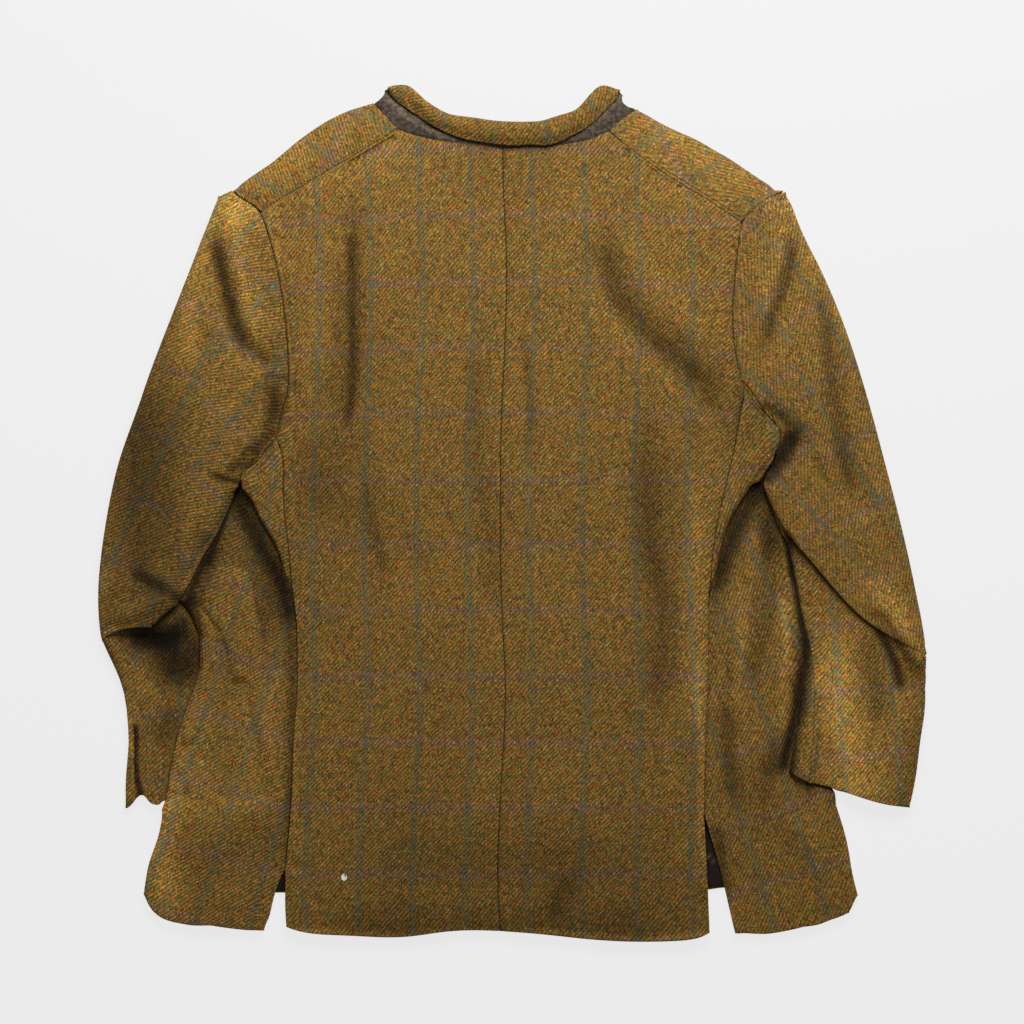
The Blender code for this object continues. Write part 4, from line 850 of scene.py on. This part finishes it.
def woollen_felt(name):
    """Dense dark felt: a fine tangle of fibres with paler and darker ones."""
    made = bpy.data.materials.new(name)
    made.use_nodes = True
    tree = made.node_tree
    shader = tree.nodes["Principled BSDF"]
    place = tree.nodes.new("ShaderNodeTexCoord").outputs["Object"]
    tangle = noise(tree, place, 900.0, 4.0, 0.7)
    flecks = noise(tree, place, 260.0, 3.0, 0.65)
    cloud = noise(tree, place, 40.0, 2.0)
    share = sums(tree, "MULTIPLY_ADD", flecks, 3.0, sums(tree, "MULTIPLY_ADD", tangle, 2.4, -2.3))
    colour = blended(tree, share, (0.010, 0.007, 0.005), (0.075, 0.056, 0.040))
    colour = blended(tree, sums(tree, "MULTIPLY", cloud, 0.5), colour, (0.034, 0.024, 0.016))
    tree.links.new(with_painted_shade(tree, colour), shader.inputs["Base Color"])
    bump = tree.nodes.new("ShaderNodeBump")
    bump.inputs["Strength"].default_value = 0.5
    bump.inputs["Distance"].default_value = 0.0005
    tree.links.new(sums(tree, "ADD", tangle, flecks), bump.inputs["Height"])
    tree.links.new(bump.outputs[0], shader.inputs["Normal"])
    shader.inputs["Roughness"].default_value = 0.95
    shader.inputs["Specular IOR Level"].default_value = 0.15
    shader.inputs["Sheen Weight"].default_value = 0.05
    return made


def pulled_out(points, pulls):
    """Pulls the cloth round single points aside: x, y, how far right and up, how far round."""
    moved = points.copy()
    for x, y, right, up, reach in pulls:
        share = np.exp(-((moved[:, 0] - x) ** 2 + (moved[:, 1] - y) ** 2) / reach**2)
        moved[:, 0] += right * share
        moved[:, 1] += up * share
    return moved


FELT = woollen_felt("melton_felt")
BAND_MIDDLE = (
    (-119, 407), (-95, 400), (-73, 381), (-36, 368), (7, 363), (43, 367), (71, 384), (104, 403),
)

collar = rounded_cloth("collar", LEVELS)
points = points_of(collar)
band_middle = np.array(BAND_MIDDLE, float)
band_run = np.concatenate([[0], np.cumsum(np.hypot(*np.diff(band_middle, axis=0).T))])
fine_run = np.linspace(0, band_run[-1], 200)
fine_line = np.stack([np.interp(fine_run, band_run, band_middle[:, i]) for i in (0, 1)], axis=1)
nearest = np.argmin(((points[:, None, :2] - fine_line[None]) ** 2).sum(axis=2), axis=1)
heading = np.gradient(fine_line, axis=0)
heading /= np.linalg.norm(heading, axis=1, keepdims=True)
offset = points[:, :2] - fine_line[nearest]
beyond = (offset * heading[nearest]).sum(axis=1)
aside = offset[:, 1] * heading[nearest, 0] - offset[:, 0] * heading[nearest, 1]
lay_pattern(collar, fine_run[nearest] + beyond - 115, aside + 20)
points[:, 2] -= 1.5 * soft_step((-aside - 3) / 9) * (points[:, 2] > 29)
points = pulled_out(points, ((-123, 404, 2.4, -0.5, 5), (107, 400, -3.0, 2.0, 5)))
for depth, width, line in (  # the lower edge comes nearly down to the neck seam
    (1.6, 10, ((-60, 356), (-20, 352), (20, 352))),
    (4.0, 11, ((16, 352), (40, 355), (62, 364), (84, 380))),
    (1.0, 8, ((-124, 398), (-106, 388), (-92, 376))),
):
    points[:, 1] -= depth * strokes(points, ((1.0, width, line),))
set_points(collar, points)
# painted shade on the collar band
BAND_PAINTED_SHADE = ((0.2, 34, ((-130, 408), (-70, 380), (0, 364), (60, 372), (116, 408))),)
paint_shade_and_highlights(collar, points, BAND_PAINTED_SHADE)
dress(collar, "collar", TWEED)

FELT_PULLS = (  # up into the collar's ends
    (-122, 398, 1.0, 6.0, 9),
    (-128, 399, 5.5, 0.0, 7),
    (104, 396, -2.0, 7.0, 9),
    (114, 396, -6.5, -3.0, 7),
)
FELT_CREASES = (
    (0.9, 2.0, ((-126, 393), (-104, 381), (-90, 371), (-76, 367), (-58, 363))),
    (0.9, 2.0, ((112, 393), (94, 380), (80, 373), (62, 364), (50, 360))),
)
undercollar = rounded_cloth("undercollar", LEVELS)
points = pulled_out(points_of(undercollar), FELT_PULLS)
points[:, 2] -= strokes(points, FELT_CREASES)
set_points(undercollar, points)
# painted highlight along the band's lower edge, where its shadow falls, and painted shade near the
# felt's roll crease
FELT_PAINTED_SHADE_AND_HIGHLIGHT = (
    (-1.3, 4.5, ((-126, 404), (-106, 385), (-92, 373), (-69, 361), (-40, 354), (-7, 351),
                 (27, 352), (51, 358), (70, 368), (85, 380), (99, 393), (110, 404))),
    (0.5, 10, ((-96, 370), (-70, 358), (-40, 352))),
    (0.35, 8, ((50, 356), (76, 366))),
)
paint_shade_and_highlights(undercollar, points, FELT_PAINTED_SHADE_AND_HIGHLIGHT)
dress(undercollar, "undercollar", FELT)

# ---------------------------------------------------------------- the seams
# Every seam is sewn from inside, so the two edges meet in a narrow groove. The panels' edges
# are drawn together here, and keep a hair's width between them.
# The tweed gets painted shade along each groove and where pieces touch.

# the two pieces, how wide a gap is still a seam, how far the edges press into each other, how
# deep the groove lies, how much painted shade darkens it, and above what height on the coat
SEAMS = (
    (back["left"], back["right"], 3.0, 0.3, 0.7, 1, -500),
    (back["left"], sides["left"], 3.0, 0.3, 0.6, 1, -500),
    (back["right"], sides["right"], 3.0, 0.3, 0.6, 1, -500),
    (back["left"], fronts["left"], 9.0, 0.8, 0.8, 1, 255),
    (back["right"], fronts["right"], 9.0, 0.8, 0.8, 1, 255),
    (back["left"], sleeves["under_sleeve", "left"], 8.0, 0.3, 2.2, 1, -500),
    (back["right"], sleeves["under_sleeve", "right"], 8.0, 0.3, 2.2, 1, -500),
    (fronts["left"], sleeves["under_sleeve", "left"], 9.0, 0.3, 1.2, 0.92, 200),
    (fronts["right"], sleeves["under_sleeve", "right"], 9.0, 0.3, 1.2, 0.92, 200),
    (fronts["left"], sleeves["top_sleeve", "left"], 9.0, 0.3, 0.7, 0.9, 200),
    (fronts["right"], sleeves["top_sleeve", "right"], 9.0, 0.3, 0.7, 0.9, 200),
    (sleeves["under_sleeve", "left"], sleeves["top_sleeve", "left"], 4.5, 0.4, 0.2, 0.89, -500),
    (sleeves["under_sleeve", "right"], sleeves["top_sleeve", "right"], 4.5, 0.4, 0.2, 0.89, -500),
    (sides["left"], sleeves["under_sleeve", "left"], 10.0, 0.4, 0.0, 1, -500),
    (sides["right"], sleeves["under_sleeve", "right"], 10.0, 0.4, 0.0, 1, -500),
    (fronts["left"], collar, 9.0, 0.8, 0.0, 0, 300),
    (fronts["right"], collar, 9.0, 0.8, 0.0, 0, 300),
    (fronts["left"], undercollar, 9.0, 0.8, 0.3, 0, 300),
    (fronts["right"], undercollar, 9.0, 0.8, 0.3, 0, 300),
    (back["left"], undercollar, 6.0, 0.8, 0.3, 0, 300),
    (back["right"], undercollar, 6.0, 0.8, 0.3, 0, 300),
)
SEAM_FADE = 9.0  # how far from its edge the cloth still gives way


def drawn_to(piece, other, reach, press, dip, dark, above):
    """How each point moves so that its edge comes halfway to the other piece's edge."""
    points, others = points_of(piece), points_of(other)
    faces = [tuple(face.vertices) for face in other.data.polygons]
    surface = BVHTree.FromPolygons(others.tolist(), faces)
    low, high = others.min(axis=0) - reach - SEAM_FADE, others.max(axis=0) + reach + SEAM_FADE
    low[1] = max(low[1], above)
    near = np.where(((points > low) & (points < high)).all(axis=1))[0]
    gap = np.full(len(points), 1e9)
    way = np.zeros_like(points)
    for index in near:
        place, _, _, distance = surface.find_nearest(points[index], reach + SEAM_FADE)
        if place is not None:
            gap[index] = max(distance, 0.01)
            way[index] = np.array(place) - points[index]
    moved = np.zeros_like(points)
    close = np.where(gap < reach)[0]
    if not len(close):
        return moved
    edges = kdtree.KDTree(len(close))
    for place, index in enumerate(close):
        edges.insert(points[index], place)
    edges.balance()
    close_gap = gap[close]
    for index in np.where(gap < reach + SEAM_FADE)[0]:
        distance = edges.find(points[index])[2]
        if distance > SEAM_FADE:
            continue
        round_it = edges.find_range(points[index], distance + 3.0)
        smallest = min(close_gap[place] for _, place, _ in round_it)
        fade = float(soft_step(1 - (gap[index] - smallest) / SEAM_FADE))
        moved[index] = way[index] / gap[index] * 0.5 * (smallest + press) * fade
        moved[index][2] -= dip * fade**4
        # painted shade along the seam, for the tweed
        edge = dark * (1 - (gap[index] - smallest) / 8.0)
        near_seam[piece.name][index] = max(near_seam[piece.name][index], edge)
    return moved


near_seam = {}
for pair in SEAMS:
    for piece in pair[:2]:
        near_seam[piece.name] = np.zeros(len(piece.data.vertices))
for first, second, *how in SEAMS:
    first_move = drawn_to(first, second, *how)
    second_move = drawn_to(second, first, *how)
    set_points(first, points_of(first) + first_move)
    set_points(second, points_of(second) + second_move)
for name, near in near_seam.items():
    attribute = bpy.data.objects[name].data.attributes.new("near_seam", "FLOAT", "POINT")
    attribute.data.foreach_set("value", near)

# ---------------------------------------------------------------- the lining
# A smooth dark lining shows only as slivers in the side vents, where it covers the inside of
# the front beneath.


def lining_sateen(name):
    """Smooth dark brown lining with a faint crosswise rib and a soft sheen."""
    made = bpy.data.materials.new(name)
    made.use_nodes = True
    tree = made.node_tree
    shader = tree.nodes["Principled BSDF"]
    place = tree.nodes.new("ShaderNodeTexCoord").outputs["Object"]
    cloud = noise(tree, place, 60.0, 3.0)
    colour = blended(tree, cloud, (0.006, 0.003, 0.002), (0.012, 0.007, 0.005))
    tree.links.new(with_painted_shade(tree, colour), shader.inputs["Base Color"])
    rib = tree.nodes.new("ShaderNodeTexWave")
    rib.bands_direction = "Y"
    rib.inputs["Scale"].default_value = 420.0
    tree.links.new(place, rib.inputs["Vector"])
    bump = tree.nodes.new("ShaderNodeBump")
    bump.inputs["Strength"].default_value = 0.25
    bump.inputs["Distance"].default_value = 0.0002
    tree.links.new(rib.outputs["Fac"], bump.inputs["Height"])
    tree.links.new(bump.outputs[0], shader.inputs["Normal"])
    shader.inputs["Roughness"].default_value = 0.6
    shader.inputs["Specular IOR Level"].default_value = 0.15
    shader.inputs["Sheen Weight"].default_value = 0.02
    return made


SATEEN = lining_sateen("lining_sateen")
# painted highlight on a small fold of the lining
LINING_PAINTED_HIGHLIGHT = ((-4.2, 1.8, ((185, -329), (190, -333), (195, -338))),)  # a small fold that shines

for hand in ("left", "right"):
    node = "lining_" + hand
    piece = rounded_cloth(node, 4)
    points = points_of(piece)
    x, y = points[:, 0], points[:, 1]
    points[:, 2] += 0.5 * np.sin(x * 0.22 + y * 0.05) * np.sin(y * 0.09 + 1.0)  # soft ripples
    set_points(piece, points)
    paint_shade_and_highlights(piece, points, LINING_PAINTED_HIGHLIGHT)
    dress(piece, node, SATEEN)

# ---------------------------------------------------------------- the cuff buttons
# Three horn buttons close the slit of the left cuff. They lie between the cuff and the
# surface, face down, and only their rims show at the slit.


def polished_horn(name):
    """Dark horn with paler streaks, half polished."""
    made = bpy.data.materials.new(name)
    made.use_nodes = True
    tree = made.node_tree
    shader = tree.nodes["Principled BSDF"]
    place = tree.nodes.new("ShaderNodeTexCoord").outputs["Object"]
    streaks = noise(tree, place, 240.0, 4.0, 0.6)
    share = sums(tree, "MULTIPLY_ADD", streaks, 2.4, -0.8)
    colour = blended(tree, share, (0.028, 0.017, 0.011), (0.190, 0.120, 0.070))
    tree.links.new(colour, shader.inputs["Base Color"])
    shader.inputs["Roughness"].default_value = 0.32
    shader.inputs["Coat Weight"].default_value = 0.2
    return made


HORN = polished_horn("horn_button")
for number in (1, 2, 3):
    node = f"cuff_button_{number}"
    piece = rounded_cloth(node, 2, node + "_turned")
    dress(piece, node, HORN)

# ---------------------------------------------------------------- the surface, light and camera
# A plain pale surface, one large soft light from beyond the collar and an even fill all round.
# The camera looks straight down from high above.

SURFACE_HALF = 6.0
corners = [
    (right * SURFACE_HALF, up * SURFACE_HALF, -0.0004)
    for right, up in ((-1, -1), (1, -1), (1, 1), (-1, 1))
]
mesh = bpy.data.meshes.new("surface")
mesh.from_pydata(corners, [], [(0, 1, 2, 3)])
surface = bpy.data.objects.new("surface", mesh)
bpy.context.scene.collection.objects.link(surface)
pale = bpy.data.materials.new("pale_surface")
pale.use_nodes = True
pale_shader = pale.node_tree.nodes["Principled BSDF"]
pale_shader.inputs["Base Color"].default_value = (0.055, 0.055, 0.055, 1.0)
pale_shader.inputs["Emission Color"].default_value = (1.0, 1.0, 1.0, 1.0)
pale_shader.inputs["Emission Strength"].default_value = 0.785
pale_shader.inputs["Roughness"].default_value = 0.9
pale_shader.inputs["Specular IOR Level"].default_value = 0.1
mesh.materials.append(pale)

world = bpy.data.worlds.new("studio")
bpy.context.scene.world = world
world.use_nodes = True
all_round = world.node_tree.nodes["Background"]
all_round.inputs["Color"].default_value = (1.0, 1.0, 1.0, 1.0)
all_round.inputs["Strength"].default_value = 0.18

lamp = bpy.data.lights.new("softbox", "AREA")
lamp.shape = "RECTANGLE"
lamp.size = 1.2
lamp.size_y = 0.8
lamp.energy = 58.0
lamp_object = bpy.data.objects.new("softbox", lamp)
lamp_object.location = (0.2, 1.35, 1.15)
lamp_object.rotation_mode = "QUATERNION"
toward_coat = Vector((0, -0.1, 0)) - lamp_object.location
lamp_object.rotation_quaternion = toward_coat.to_track_quat("-Z", "Y")
bpy.context.scene.collection.objects.link(lamp_object)

CAMERA_HEIGHT = 4.0
FRAME_WIDTH = 1024 * 0.96 * MM
camera = bpy.data.cameras.new("camera")
camera.sensor_width = 36.0
camera.lens = 36.0 * CAMERA_HEIGHT / FRAME_WIDTH
camera_object = bpy.data.objects.new("camera", camera)
camera_object.location = (0.0, -0.0005, CAMERA_HEIGHT + 0.012)
bpy.context.scene.collection.objects.link(camera_object)
bpy.context.scene.camera = camera_object
bpy.context.scene.view_settings.view_transform = "Standard"
